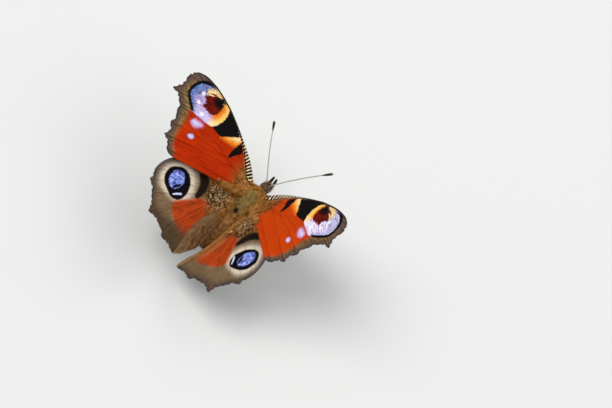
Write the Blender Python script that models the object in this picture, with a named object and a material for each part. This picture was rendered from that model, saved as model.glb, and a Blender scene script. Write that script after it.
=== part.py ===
# Peacock butterfly, life size, standing with its wings half raised.
# Sizes are in millimetres and angles in degrees; MM turns a size into metres.
# The body's own axes are +X to its right, +Y to its head and +Z to its back.
# A wing's outline is drawn flat: the first number runs outward from the wing's root, the second to the front.

import math

import bmesh
import bpy
from mathutils import Vector
from mathutils.geometry import delaunay_2d_cdt

MM = 0.001
GAP = 0.3               # clear space between two pieces that touch
SHARP_ANGLE = 35.0      # edges sharper than this stay crisp

# How the body stands
BODY_PITCH = 8.0        # head up
BODY_AT = (0.157, 4.75, 8.6)    # the thorax's middle; this centres the whole outline over the floor's origin

# Body
THORAX_AT = (0.0, -0.25, 0.0)
THORAX_HALF = (2.75, 4.4, 2.8)
THORAX_BLUNT = 2.5      # 2 is an ellipse; more makes the ends blunter
THORAX_TAPER = 0.12     # how much narrower the front is
HEAD_AT = (0.0, 5.15, 0.3)
HEAD_HALF = (1.25, 1.2, 1.3)
EYE_OFFSET = (1.15, 0.08, -0.05)
EYE_HALF = (0.66, 0.86, 1.02)
ABDOMEN_START = (0.0, -3.4, -0.1)
ABDOMEN_END = (0.0, -15.0, -4.7)
ABDOMEN_ARCH = 0.4      # rise of its middle over a straight line
ABDOMEN_HALF_WIDTH = 1.85
ABDOMEN_HEIGHT_SHARE = 0.95    # its height over its width
ABDOMEN_WAIST = 0.07    # more makes the front end thicker
ABDOMEN_LEAN = 0.62     # under 1 puts the thickest part nearer the front
ABDOMEN_FULLNESS = 0.55    # less makes it fuller toward both ends
ABDOMEN_END_CLOSENESS = 0.65    # more puts more of the rings of points at the ends
ABDOMEN_RINGS = 8
ABDOMEN_RING_DEPTH = 0.07
ABDOMEN_RING_SHARPNESS = 0.6
ROUNDING = {"thorax": (28, 18), "abdomen": (20, 34), "head": (24, 16), "eye": (20, 14)}    # round and along

# Feelers and mouth, as offsets from the head's middle on the right side
ANTENNA_ROOT = (0.34, 0.5, 0.9)
ANTENNA_LENGTH = 15.7
ANTENNA_SPREAD = {"left": 41.3, "right": 35.1}    # out from straight ahead
ANTENNA_RISE = {"left": 13.7, "right": 14.6}
ANTENNA_BOW = 0.35      # the shaft bows this far outward of a straight line
ANTENNA_ARCH = 1.47     # and this far above it
ANTENNA_RADIUS = 0.25
ANTENNA_STEPS = 16
CLUB_LENGTH = 2.9
CLUB_RADIUS = 0.36
CLUB_TURN = 0.86        # 1 would bring the club to the shaft's thickness again at its tip
CLUB_CURVE = 1.3
PALP_PATH = [(0.55, 0.3, -0.8), (0.6, 1.2, -0.85), (0.54, 2.1, 0.05), (0.42, 3.05, 1.27)]
PALP_RADII = [0.26, 0.36, 0.34, 0.17]
PALP_STEPS = 9
PROBOSCIS_ROOT = (0.0, -0.25, -0.9)
COIL_AT = (0.0, 0.7, -2.45)
COIL_OUTER = 0.95
COIL_PITCH = 0.75       # how much closer each turn lies
COIL_TURNS = 1.0
COIL_STEPS = 26
PROBOSCIS_RADIUS = 0.2
PROBOSCIS_TIP_RADIUS = 0.16

# Legs, as points on the right side. The first two are on the body, the others stand on the floor's own axes.
LEG_RADII = {"hip": 0.45, "thigh": 0.4, "knee": 0.3, "shin": 0.27, "foot": 0.25, "toe": 0.2}
LEGS = {
    "midleg": {"hip": (0.9, 0.6, -2.0), "knee": (4.6, 2.0, -3.6), "ankle": (6.5, 3.9), "toe": (8.7, 6.6)},
    "hindleg": {"hip": (0.9, -1.9, -1.9), "knee": (4.0, -5.6, -4.2), "ankle": (5.4, -9.2), "toe": (6.8, -12.6)},
}
FOOT_LEVEL = 0.17       # the foot's middle line above the floor
LEG_STEPS = [           # where each point of a leg lies: from, to, how far along, and its radius
    ("hip", "knee", 0.0, "hip"), ("hip", "knee", 0.45, "thigh"), ("hip", "knee", 0.9, "knee"),
    ("hip", "knee", 1.0, "knee"), ("knee", "ankle", 0.08, "knee"), ("knee", "ankle", 0.5, "shin"),
    ("knee", "ankle", 0.93, "shin"), ("ankle", "toe", 0.0, "foot"), ("ankle", "toe", 0.12, "foot"),
    ("ankle", "toe", 0.55, "foot"), ("ankle", "toe", 1.0, "toe"),
]
FORELEG_PATH = [
    (0.8, 1.8, -2.0), (0.95, 3.3, -2.95), (1.0, 4.7, -2.75),
    (0.95, 5.35, -3.35), (0.85, 4.9, -4.0), (0.8, 3.8, -4.2),
]
FORELEG_RADII = [0.32, 0.34, 0.3, 0.28, 0.28, 0.22]
FORELEG_STEPS = 15

# How the wings are held: up from level, nose down, and each wing's turn to the back in its own plane
WING_HINGE = (2.2, 0.0, 1.0)
WING_RAISE = {"left": 38.8, "right": 40.6}
WING_TILT = {"left": -10.4, "right": 0.8}
WING_SWEEP = {"forewing": {"left": 30.5, "right": 32.2}, "hindwing": {"left": 20.0, "right": 23.3}}
WING_ROOT = {"forewing": (0.0, 1.8), "hindwing": (0.0, -1.6)}
WING_LIFT = {"forewing": 0.6, "hindwing": -0.6}
CAMBER_SPAN = 20.0
CAMBER = {"out": 0.64, "front": 0.96, "twist": 2.41, "rear_curl": 1.13, "tip_curl": -0.53}
WING_THICKNESS = 0.5
ROOT_SWELL = 0.5        # extra thickness at the root
ROOT_SWELL_REACH = 2.2

# Veins
VEIN_HALF_WIDTH = 0.35
VEIN_HEIGHT = 0.16
VEIN_TIP_SHARE = 0.5    # what is left of the height at the margin
VEIN_STEP = 2.2
CLEAR_OF_VEIN = 0.9
FILL_STEP = 2.5
ROW_STEP = 2.17         # between the rows of the fill
MARGIN_STEP = 1.3
SMOOTH_MARGIN_STEP = 1.95

# Wing margins. Each vein ends in a tooth, and the margin dips by the given depth before the next.
FOREWING_COSTA = [(-1.2, 0.6), (-0.3, 1.6), (2.4, 5.4), (7.4, 9.8), (13.9, 14.5), (19.1, 17.2), (22.8, 18.3)]
FOREWING_TEETH = {
    "R4": ((25.4, 18.2), 0.0), "R5": ((26.9, 16.9), 0.7), "M1": ((29.5, 12.4), 0.5), "M2": ((26.7, 9.9), 0.3),
    "M3": ((26.5, 8.0), 0.6), "CuA1": ((26.9, 4.9), 0.8), "CuA2": ((27.3, 1.6), 0.5), "1A": ((25.4, -1.3), 0.0),
}
FOREWING_INNER = [(23.3, -2.4), (15.0, -2.5), (6.0, -2.3), (0.0, -1.7), (-1.2, -1.2)]
HINDWING_COSTA = [(-1.2, 0.2), (0.4, 1.3), (4.0, 2.4), (9.5, 2.4), (15.0, 0.7), (19.0, -1.7), (21.7, -4.6)]
HINDWING_TEETH = {
    "Rs": ((23.0, -7.8), 0.3), "M1": ((23.1, -10.9), 0.4), "M2": ((21.2, -13.4), 0.5),
    "M3": ((20.4, -18.0), 0.6), "CuA1": ((14.9, -19.0), 0.3), "CuA2": ((13.7, -20.5), 0.4),
    "2A": ((8.6, -21.7), 0.0),
}
HINDWING_INNER = [
    (6.8, -20.1), (4.9, -17.8), (2.8, -15.2), (2.4, -12.4), (2.2, -9.3), (1.4, -6.2), (0.2, -3.6), (-1.2, -2.2),
]

# The hindwing's inner margin folds down beside the abdomen from a crease between the root and the rear corner.
HINDWING_CREASE = [
    (0.9, -2.6), (3.6, -6.4), (5.9, -9.9), (7.1, -12.8), (7.9, -15.6), (8.3, -18.6), (8.6, -21.7),
]
FOLD_DROP = 2.4         # how far down the margin goes, at the width below
FOLD_WIDTH = 4.3
FOLD_CURVE = 1.3

# Each hindwing curls a little in its own way: up toward the tail, along the outer side and along the rear.
HINDWING_CURL = {"left": (2.8, -1.5, 0.0), "right": (-0.15, -0.35, -0.6)}

# Vein lines from the root outward; a name from the teeth above ends a line at that tooth.
FOREWING_VEINS = [
    [(0.2, 0.9), (6.4, 7.2), (13.9, 14.5)],
    [(0.2, 0.3), (6.0, 5.2), (8.8, 7.3), (11.6, 9.3)],
    [(8.8, 7.3), (13.4, 12.0), (19.1, 17.2)],
    [(11.6, 9.3), (17.3, 13.6), (22.8, 18.3)],
    [(17.3, 13.6), (21.6, 16.2), "R4"],
    [(17.3, 13.6), (22.4, 15.6), "R5"],
    [(12.3, 8.7), (20.5, 11.1), "M1"],
    [(12.9, 7.4), (19.8, 9.0), "M2"],
    [(12.7, 5.3), (19.6, 6.9), "M3"],
    [(9.4, 3.6), (18.0, 4.7), "CuA1"],
    [(6.6, 2.4), (16.5, 2.0), "CuA2"],
    [(0.2, -0.2), (6.6, 2.4), (9.4, 3.6), (12.7, 5.3)],
    [(0.2, -0.7), (12.0, -1.0), "1A"],
    [(11.6, 9.3), (12.3, 8.7), (12.9, 7.4), (12.7, 5.3)],
]
HINDWING_VEINS = [
    [(0.2, 0.3), (9.5, 0.9), (21.7, -4.6)],
    [(0.2, -0.3), (4.0, -1.1), (14.0, -3.5), "Rs"],
    [(4.0, -1.1), (6.6, -3.1), (15.3, -6.5), "M1"],
    [(7.5, -4.4), (14.8, -9.2), "M2"],
    [(7.7, -6.0), (14.0, -12.2), "M3"],
    [(6.4, -6.2), (10.8, -12.8), "CuA1"],
    [(4.8, -5.2), (9.8, -12.8), "CuA2"],
    [(0.2, -0.9), (4.8, -5.2), (6.4, -6.2), (7.7, -6.0)],
    [(6.6, -3.1), (7.5, -4.4), (7.7, -6.0)],
    [(0.2, -1.5), (3.6, -6.4), (7.1, -12.8), (8.3, -18.6), "2A"],
    [(0.6, -2.4), (3.2, -8.4), (4.6, -13.4)],
]
WING_SHAPES = {
    "forewing": (FOREWING_COSTA, FOREWING_TEETH, FOREWING_INNER, FOREWING_VEINS),
    "hindwing": (HINDWING_COSTA, HINDWING_TEETH, HINDWING_INNER, HINDWING_VEINS),
}

SIDES = {"left": -1.0, "right": 1.0}
COLOURS = {
    "forewing": (0.55, 0.12, 0.03), "hindwing": (0.45, 0.14, 0.05), "thorax": (0.24, 0.16, 0.06),
    "abdomen": (0.16, 0.09, 0.05), "head": (0.15, 0.1, 0.08), "eye": (0.05, 0.03, 0.02),
    "antenna": (0.12, 0.1, 0.08), "palp": (0.1, 0.07, 0.05), "proboscis": (0.2, 0.1, 0.04),
    "leg": (0.25, 0.19, 0.13),
}


def clear_scene():
    for item in list(bpy.data.objects):
        bpy.data.objects.remove(item, do_unlink=True)


def new_collection(name):
    group = bpy.data.collections.new(name)
    bpy.context.scene.collection.children.link(group)
    return group


def coloured(name, roughness=0.7):
    material = bpy.data.materials.new(name)
    material.use_nodes = True
    shader = material.node_tree.nodes["Principled BSDF"]
    shader.inputs["Base Color"].default_value = (*COLOURS[name], 1.0)
    shader.inputs["Roughness"].default_value = roughness
    shader.inputs["Metallic"].default_value = 0.0
    return material


def add_object(name, mesh, group, material=None, parent=None):
    item = bpy.data.objects.new(name, mesh)
    group.objects.link(item)
    item.parent = parent
    if material:
        mesh.materials.append(material)
    mesh.shade_smooth()
    mesh.set_sharp_from_angle(angle=math.radians(SHARP_ANGLE))
    return item


def face_outward(form):
    bmesh.ops.recalc_face_normals(form, faces=form.faces)
    if form.calc_volume(signed=True) < 0:
        bmesh.ops.reverse_faces(form, faces=form.faces)


def as_cutter(item):
    item.hide_render = True
    item.display_type = "WIRE"
    return item


def trim(item, *cutters):
    for cutter in cutters:
        cut = item.modifiers.new("clear_of_" + cutter.name, "BOOLEAN")
        cut.operation = "DIFFERENCE"
        cut.object = cutter
        cut.solver = "EXACT"


def mirrored(point, side):
    return (point[0] * side, point[1], point[2])


def plus(first, second):
    return tuple(a + b for a, b in zip(first, second))


# Smooth line through a few points


def through(points, share):
    # A smooth line through the points, read at a share from 0 to 1 of their count.
    spans = len(points) - 1
    at = min(share * spans, spans - 1e-9)
    index = int(at)
    step = at - index
    before = Vector(points[max(index - 1, 0)])
    start = Vector(points[index])
    end = Vector(points[index + 1])
    after = Vector(points[min(index + 2, spans)])
    slope_start = (end - before) / 2
    slope_end = (after - start) / 2
    return (
        start * (2 * step ** 3 - 3 * step ** 2 + 1)
        + slope_start * (step ** 3 - 2 * step ** 2 + step)
        + end * (3 * step ** 2 - 2 * step ** 3)
        + slope_end * (step ** 3 - step ** 2)
    )


def smooth_line(points, step):
    # Points at about an even step, with every given point kept.
    spans = len(points) - 1
    line = [Vector(points[0])]
    for index in range(spans):
        length = (Vector(points[index + 1]) - Vector(points[index])).length
        count = max(1, round(length / step))
        for part in range(1, count + 1):
            line.append(through(points, (index + part / count) / spans))
    return line


# Rounded forms, each a sphere whose points are moved by a rule


def rounded_form(name, rule, rounding):
    segments, rings = ROUNDING[rounding]
    form = bmesh.new()
    bmesh.ops.create_uvsphere(form, u_segments=segments, v_segments=rings, radius=1.0)
    for vertex in form.verts:
        x, z, y = vertex.co
        vertex.co = Vector(rule(x, -y, z)) * MM
    face_outward(form)
    mesh = bpy.data.meshes.new(name)
    form.to_mesh(mesh)
    form.free()
    return mesh


def ellipsoid_rule(half, grow=0.0):
    return lambda x, y, z: (x * (half[0] + grow), y * (half[1] + grow), z * (half[2] + grow))


def thorax_rule(grow=0.0):
    def rule(x, y, z):
        round_share = math.sqrt(max(1e-9, 1 - y * y))
        blunt_share = (1 - abs(y) ** THORAX_BLUNT) ** (1 / THORAX_BLUNT) if abs(y) < 1 else 0.0
        swell = blunt_share / round_share * (1 - THORAX_TAPER * y)
        return (
            x * swell * (THORAX_HALF[0] + grow),
            y * (THORAX_HALF[1] + grow),
            z * swell * (THORAX_HALF[2] + grow),
        )
    return rule


def abdomen_radius(share):
    # Half the width, from the waist at share 0 to the tip at share 1.
    from_waist = min(1.0, share * (1 - ABDOMEN_WAIST) + ABDOMEN_WAIST)
    swell = math.sin(math.pi * from_waist ** ABDOMEN_LEAN) ** ABDOMEN_FULLNESS
    ring = abs(math.sin(math.pi * ABDOMEN_RINGS * share)) ** ABDOMEN_RING_SHARPNESS
    return ABDOMEN_HALF_WIDTH * swell + ABDOMEN_RING_DEPTH * (ring - 1)


def abdomen_rule(grow=0.0):
    start = Vector(ABDOMEN_START)
    end = Vector(ABDOMEN_END)
    along = (end - start).normalized()
    up = Vector((1, 0, 0)).cross(along).normalized()
    if up.z < 0:
        up = -up

    def rule(x, y, z):
        even_share = math.acos(max(-1.0, min(1.0, y))) / math.pi
        share = (1 - ABDOMEN_END_CLOSENESS) * (1 - y) / 2 + ABDOMEN_END_CLOSENESS * even_share
        middle = start.lerp(end, share) + up * ABDOMEN_ARCH * math.sin(math.pi * share)
        around = math.hypot(x, z)
        if around < 1e-6:
            return middle + along * (grow if y < 0 else -grow)
        radius = abdomen_radius(share) + grow
        return middle + Vector((x / around * radius, 0, 0)) + up * (z / around * radius * ABDOMEN_HEIGHT_SHARE)
    return rule


def make_body(group, cutters, frame):
    thorax_mesh = rounded_form("thorax", thorax_rule(), "thorax")
    thorax = add_object("thorax", thorax_mesh, group, coloured("thorax"), frame)
    thorax.location = Vector(THORAX_AT) * MM
    thorax_room_mesh = rounded_form("thorax_room", thorax_rule(GAP), "thorax")
    thorax_room = add_object("thorax_room", thorax_room_mesh, cutters, None, frame)
    thorax_room.location = thorax.location
    as_cutter(thorax_room)
    abdomen_mesh = rounded_form("abdomen", abdomen_rule(), "abdomen")
    abdomen = add_object("abdomen", abdomen_mesh, group, coloured("abdomen"), frame)
    abdomen_room_mesh = rounded_form("abdomen_room", abdomen_rule(GAP), "abdomen")
    abdomen_room = add_object("abdomen_room", abdomen_room_mesh, cutters, None, frame)
    as_cutter(abdomen_room)
    trim(abdomen, thorax_room)
    head_mesh = rounded_form("head", ellipsoid_rule(HEAD_HALF), "head")
    head = add_object("head", head_mesh, group, coloured("head"), frame)
    head.location = Vector(HEAD_AT) * MM
    trim(head, thorax_room)
    head_room_mesh = rounded_form("head_room", ellipsoid_rule(HEAD_HALF, GAP), "head")
    head_room = add_object("head_room", head_room_mesh, cutters, None, frame)
    head_room.location = head.location
    as_cutter(head_room)
    return thorax_room, abdomen_room, head_room


def make_eye(side_name, group, frame, head_room, thorax_room, material):
    mesh = rounded_form("eye_" + side_name, ellipsoid_rule(EYE_HALF), "eye")
    eye = add_object("eye_" + side_name, mesh, group, material, frame)
    eye.location = Vector(plus(HEAD_AT, mirrored(EYE_OFFSET, SIDES[side_name]))) * MM
    trim(eye, head_room, thorax_room)


# Tubes with a radius of their own at each point


def tube_mesh(name, points, radii, sides_step=2):
    curve = bpy.data.curves.new(name, "CURVE")
    curve.dimensions = "3D"
    curve.bevel_depth = MM
    curve.bevel_resolution = sides_step
    curve.use_fill_caps = True
    spline = curve.splines.new("POLY")
    spline.points.add(len(points) - 1)
    for place, point, radius in zip(spline.points, points, radii):
        place.co = (*(Vector(point) * MM), 1.0)
        place.radius = radius
    holder = bpy.data.objects.new(name + "_curve", curve)
    bpy.context.scene.collection.objects.link(holder)
    bpy.context.view_layer.update()
    graph = bpy.context.evaluated_depsgraph_get()
    mesh = bpy.data.meshes.new_from_object(holder.evaluated_get(graph))
    bpy.data.objects.remove(holder, do_unlink=True)
    form = bmesh.new()
    form.from_mesh(mesh)
    bmesh.ops.remove_doubles(form, verts=form.verts, dist=1e-6)
    face_outward(form)
    form.to_mesh(mesh)
    form.free()
    return mesh


def spread_radii(radii, count):
    values = []
    for index in range(count):
        at = index / (count - 1) * (len(radii) - 1)
        low = min(int(at), len(radii) - 2)
        values.append(radii[low] + (radii[low + 1] - radii[low]) * (at - low))
    return values


def make_antenna(side_name, group, frame, head_room, material):
    side = SIDES[side_name]
    spread = math.radians(ANTENNA_SPREAD[side_name])
    rise = math.radians(ANTENNA_RISE[side_name])
    level = math.cos(rise)
    direction = Vector((side * math.sin(spread) * level, math.cos(spread) * level, math.sin(rise)))
    bow = Vector((side * math.cos(spread), -math.sin(spread), 0))
    arch = direction.cross(bow) * side
    if arch.z < 0:
        arch = -arch
    root = Vector(plus(HEAD_AT, mirrored(ANTENNA_ROOT, side)))
    points = []
    radii = []
    for index in range(ANTENNA_STEPS + 1):
        share = index / ANTENNA_STEPS
        length = ANTENNA_LENGTH * share
        away = (bow * ANTENNA_BOW + arch * ANTENNA_ARCH) * math.sin(math.pi * share)
        points.append(root + direction * length + away)
        into_club = max(0.0, (length - ANTENNA_LENGTH + CLUB_LENGTH) / CLUB_LENGTH)
        club = math.sin(math.pi * into_club ** CLUB_CURVE * CLUB_TURN)
        radii.append(ANTENNA_RADIUS + (CLUB_RADIUS - ANTENNA_RADIUS) * club)
    antenna = add_object(
        "antenna_" + side_name, tube_mesh("antenna_" + side_name, points, radii), group, material, frame)
    trim(antenna, head_room)


def make_palp(side_name, group, frame, head_room, material):
    path = [plus(HEAD_AT, mirrored(point, SIDES[side_name])) for point in PALP_PATH]
    points = [through(path, index / PALP_STEPS) for index in range(PALP_STEPS + 1)]
    mesh = tube_mesh("palp_" + side_name, points, spread_radii(PALP_RADII, len(points)))
    palp = add_object("palp_" + side_name, mesh, group, material, frame)
    trim(palp, head_room)


def make_proboscis(group, frame, head_room):
    # Down from the mouth, then round into a flat coil.
    middle = Vector(plus(HEAD_AT, COIL_AT))
    points = [Vector(plus(HEAD_AT, PROBOSCIS_ROOT))]
    for index in range(COIL_STEPS + 1):
        turn = index / COIL_STEPS * COIL_TURNS
        angle = math.pi + 2 * math.pi * turn
        radius = COIL_OUTER - COIL_PITCH * turn
        points.append(middle + Vector((0, math.cos(angle), math.sin(angle))) * radius)
    radii = spread_radii([PROBOSCIS_RADIUS, PROBOSCIS_TIP_RADIUS], len(points))
    proboscis = add_object(
        "proboscis", tube_mesh("proboscis", points, radii), group, coloured("proboscis", 0.45), frame)
    trim(proboscis, head_room)


# Legs


def to_floor_axes(point):
    # A point on the body, turned and lifted as the body stands.
    pitch = math.radians(BODY_PITCH)
    x, y, z = point
    return Vector((
        x + BODY_AT[0],
        y * math.cos(pitch) - z * math.sin(pitch) + BODY_AT[1],
        y * math.sin(pitch) + z * math.cos(pitch) + BODY_AT[2],
    ))


def flatten_foot(mesh):
    form = bmesh.new()
    form.from_mesh(mesh)
    everything = list(form.verts) + list(form.edges) + list(form.faces)
    cut = bmesh.ops.bisect_plane(
        form, geom=everything, plane_co=(0, 0, 0), plane_no=(0, 0, -1), clear_outer=True, dist=1e-7)
    rim = [edge for edge in cut["geom_cut"] if isinstance(edge, bmesh.types.BMEdge)]
    bmesh.ops.edgeloop_fill(form, edges=rim)
    bmesh.ops.triangulate(form, faces=form.faces)
    face_outward(form)
    form.to_mesh(mesh)
    form.free()


def leg_points(leg, side):
    joints = {
        "hip": to_floor_axes(mirrored(leg["hip"], side)),
        "knee": to_floor_axes(mirrored(leg["knee"], side)),
        "ankle": Vector((BODY_AT[0] + leg["ankle"][0] * side, BODY_AT[1] + leg["ankle"][1], FOOT_LEVEL)),
        "toe": Vector((BODY_AT[0] + leg["toe"][0] * side, BODY_AT[1] + leg["toe"][1], FOOT_LEVEL)),
    }
    path = [joints[start].lerp(joints[end], share) for start, end, share, _ in LEG_STEPS]
    return path, [LEG_RADII[step[3]] for step in LEG_STEPS]


def make_leg(name, leg, side_name, group, thorax_room, material):
    points, radii = leg_points(leg, SIDES[side_name])
    mesh = tube_mesh(name + "_" + side_name, points, radii)
    flatten_foot(mesh)
    item = add_object(name + "_" + side_name, mesh, group, material)
    trim(item, thorax_room)


def make_foreleg(side_name, group, frame, thorax_room, material):
    # The small brush-like foreleg, folded under the breast.
    path = [mirrored(point, SIDES[side_name]) for point in FORELEG_PATH]
    points = [through(path, index / FORELEG_STEPS) for index in range(FORELEG_STEPS + 1)]
    mesh = tube_mesh("foreleg_" + side_name, points, spread_radii(FORELEG_RADII, len(points)))
    item = add_object("foreleg_" + side_name, mesh, group, material, frame)
    trim(item, thorax_room)


# Wings


def wing_outline(costa, teeth, inner):
    # The closed margin: costa, then tooth to tooth with a dip between, then the inner margin back to the root.
    tips = list(teeth.values())
    front = smooth_line(costa + [tips[0][0]], SMOOTH_MARGIN_STEP)
    line = [Vector(point) for point in front]
    for (tip, dip), (next_tip, _) in zip(tips, tips[1:]):
        start = Vector(tip)
        span = Vector(next_tip) - start
        inward = Vector((span.y, -span.x)).normalized()
        count = max(2, round(span.length / MARGIN_STEP))
        for part in range(1, count + 1):
            share = part / count
            line.append(start + span * share + inward * dip * math.sin(math.pi * share))
        line[-1] = Vector(next_tip)
    line += smooth_line([tips[-1][0]] + inner, SMOOTH_MARGIN_STEP)[1:]
    return line


def near_line(point, line):
    # Distance to a line of points, and how far along it that is, from 0 to 1.
    best = (1e9, 0.0)
    spans = len(line) - 1
    for index in range(spans):
        start = line[index]
        span = line[index + 1] - start
        share = max(0.0, min(1.0, (point - start).dot(span) / max(span.length_squared, 1e-12)))
        distance = (point - start - span * share).length
        if distance < best[0]:
            best = (distance, (index + share) / spans)
    return best


def inside(point, outline):
    odd = False
    previous = outline[-1]
    for corner in outline:
        if (corner.y > point.y) != (previous.y > point.y):
            crossing = (previous.x - corner.x) * (point.y - corner.y) / (previous.y - corner.y) + corner.x
            odd = odd != (point.x < crossing)
        previous = corner
    return odd


def vein_lines(veins, teeth):
    lines = []
    for vein in veins:
        points = [teeth[point][0] if isinstance(point, str) else point for point in vein]
        lines.append(smooth_line(points, VEIN_STEP))
    return lines


def vein_height(point, lines):
    height = 0.0
    for line in lines:
        distance, share = near_line(point, line)
        if distance < VEIN_HALF_WIDTH:
            crest = VEIN_HEIGHT * (1 - (1 - VEIN_TIP_SHARE) * share)
            height = max(height, crest * (1 - distance / VEIN_HALF_WIDTH))
    return height


def flat_wing(shape):
    # The wing's points and triangles in its own plane, with the veins' crests and feet among the edges.
    costa, teeth, inner, veins = shape
    outline = wing_outline(costa, teeth, inner)
    lines = vein_lines(veins, teeth)
    points = [Vector(point) for point in outline]
    margin = outline + [outline[0]]
    edges = []
    for number, line in enumerate(lines):
        others = lines[:number] + lines[number + 1:]
        crest = []
        for index, point in enumerate(line):
            crest.append(len(points))
            points.append(point)
            before = line[max(index - 1, 0)]
            after = line[min(index + 1, len(line) - 1)]
            across = Vector((-(after - before).y, (after - before).x)).normalized() * VEIN_HALF_WIDTH
            for foot in (point + across, point - across):
                clear = min(near_line(foot, other)[0] for other in others) > VEIN_HALF_WIDTH
                if clear and inside(foot, outline) and near_line(foot, margin)[0] > VEIN_HALF_WIDTH:
                    points.append(foot)
        edges += list(zip(crest, crest[1:]))
    width = max(point.x for point in outline)
    low = min(point.y for point in outline)
    high = max(point.y for point in outline)
    rows = int((high - low) / ROW_STEP) + 1
    for row in range(rows):
        for column in range(int(width / FILL_STEP) + 2):
            place = Vector(((column + 0.5 * (row % 2)) * FILL_STEP, low + row * ROW_STEP))
            if not inside(place, outline) or near_line(place, margin)[0] < CLEAR_OF_VEIN:
                continue
            if min(near_line(place, line)[0] for line in lines) > CLEAR_OF_VEIN:
                points.append(place)
    edges += [(index, (index + 1) % len(outline)) for index in range(len(outline))]
    result = delaunay_2d_cdt(points, edges, [], 0, 1e-3)
    flat_points = [Vector(point) for point in result[0]]
    triangles = []
    for face in result[2]:
        middle = (flat_points[face[0]] + flat_points[face[1]] + flat_points[face[2]]) / 3
        if inside(middle, outline):
            triangles.append(face)
    return flat_points, triangles, [vein_height(point, lines) for point in flat_points]


def camber(out, front):
    u = out / CAMBER_SPAN
    v = front / CAMBER_SPAN
    return (
        CAMBER["out"] * u * u + CAMBER["front"] * v * v + CAMBER["twist"] * u * v
        + CAMBER["rear_curl"] * v ** 3 + CAMBER["tip_curl"] * u ** 3
    )


def hindwing_curl(out, front, side_name):
    u = out / CAMBER_SPAN
    v = front / CAMBER_SPAN
    tail, outer, rear = HINDWING_CURL[side_name]
    return tail * u * v ** 4 + outer * u * v * v + rear * v ** 3


def fold_drop(point):
    # How far the hindwing's folded inner margin hangs below the rest at this point.
    crease = [Vector(corner) for corner in HINDWING_CREASE]
    distance = near_line(point, crease)[0]
    nearest = min(range(len(crease) - 1), key=lambda index: near_line(point, crease[index:index + 2])[0])
    span = crease[nearest + 1] - crease[nearest]
    beside = point - crease[nearest]
    if span.x * beside.y - span.y * beside.x > 0:
        return 0.0
    return FOLD_DROP * (distance / FOLD_WIDTH) ** FOLD_CURVE


def wing_mesh(name, wing, side_name, flat):
    flat_points, triangles, heights = flat
    side = SIDES[side_name]
    sweep = math.radians(-WING_SWEEP[wing][side_name])
    root = WING_ROOT[wing]
    form = bmesh.new()
    upper = []
    lower = []
    for point, height in zip(flat_points, heights):
        out = point.x * math.cos(sweep) - point.y * math.sin(sweep) + root[0]
        front = point.x * math.sin(sweep) + point.y * math.cos(sweep) + root[1]
        level = camber(out, front) + WING_LIFT[wing]
        if wing == "hindwing":
            level += hindwing_curl(out, front, side_name) - fold_drop(point)
        swell = ROOT_SWELL * math.exp(-(point.length / ROOT_SWELL_REACH) ** 2)
        above = WING_THICKNESS / 2 + height + (swell if wing == "forewing" else 0.0)
        below = WING_THICKNESS / 2 + height + (swell if wing == "hindwing" else 0.0)
        upper.append(form.verts.new(Vector((out * side, front, level + above)) * MM))
        lower.append(form.verts.new(Vector((out * side, front, level - below)) * MM))
    used = {}
    for triangle in triangles:
        form.faces.new([upper[index] for index in triangle])
        form.faces.new([lower[index] for index in reversed(triangle)])
        for start, end in zip(triangle, list(triangle[1:]) + [triangle[0]]):
            used[(start, end)] = True
    for start, end in used:
        if (end, start) not in used:
            form.faces.new([upper[end], upper[start], lower[start]])
            form.faces.new([upper[end], lower[start], lower[end]])
    loose = [vertex for vertex in form.verts if not vertex.link_faces]
    bmesh.ops.delete(form, geom=loose, context="VERTS")
    face_outward(form)
    mesh = bpy.data.meshes.new(name)
    form.to_mesh(mesh)
    form.free()
    return mesh


def make_wing(wing, side_name, flat, group, frame, rooms, material):
    name = wing + "_" + side_name
    item = add_object(name, wing_mesh(name, wing, side_name, flat), group, material, frame)
    side = SIDES[side_name]
    item.location = Vector(mirrored(WING_HINGE, side)) * MM
    item.rotation_euler = (math.radians(WING_TILT[side_name]), -side * math.radians(WING_RAISE[side_name]), 0.0)
    trim(item, *rooms)


def main():
    clear_scene()
    group = new_collection("peacock_butterfly")
    cutters = new_collection("cutters")
    frame = bpy.data.objects.new("body_axes", None)
    group.objects.link(frame)
    frame.location = Vector(BODY_AT) * MM
    frame.rotation_euler = (math.radians(BODY_PITCH), 0.0, 0.0)

    thorax_room, abdomen_room, head_room = make_body(group, cutters, frame)
    make_proboscis(group, frame, head_room)
    materials = {name: coloured(name) for name in ("eye", "antenna", "palp", "leg", "forewing", "hindwing")}
    flats = {wing: flat_wing(shape) for wing, shape in WING_SHAPES.items()}
    for side_name in SIDES:
        make_eye(side_name, group, frame, head_room, thorax_room, materials["eye"])
        make_antenna(side_name, group, frame, head_room, materials["antenna"])
        make_palp(side_name, group, frame, head_room, materials["palp"])
        make_foreleg(side_name, group, frame, thorax_room, materials["leg"])
        for name, leg in LEGS.items():
            make_leg(name, leg, side_name, group, thorax_room, materials["leg"])
        for wing, flat in flats.items():
            make_wing(wing, side_name, flat, group, frame, (thorax_room, abdomen_room), materials[wing])


main()
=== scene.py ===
# Peacock butterfly: wing markings, skin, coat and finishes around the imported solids
import math
import bpy
import numpy as np
from mathutils import Euler, Matrix, Vector
from mathutils.geometry import delaunay_2d_cdt


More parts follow.
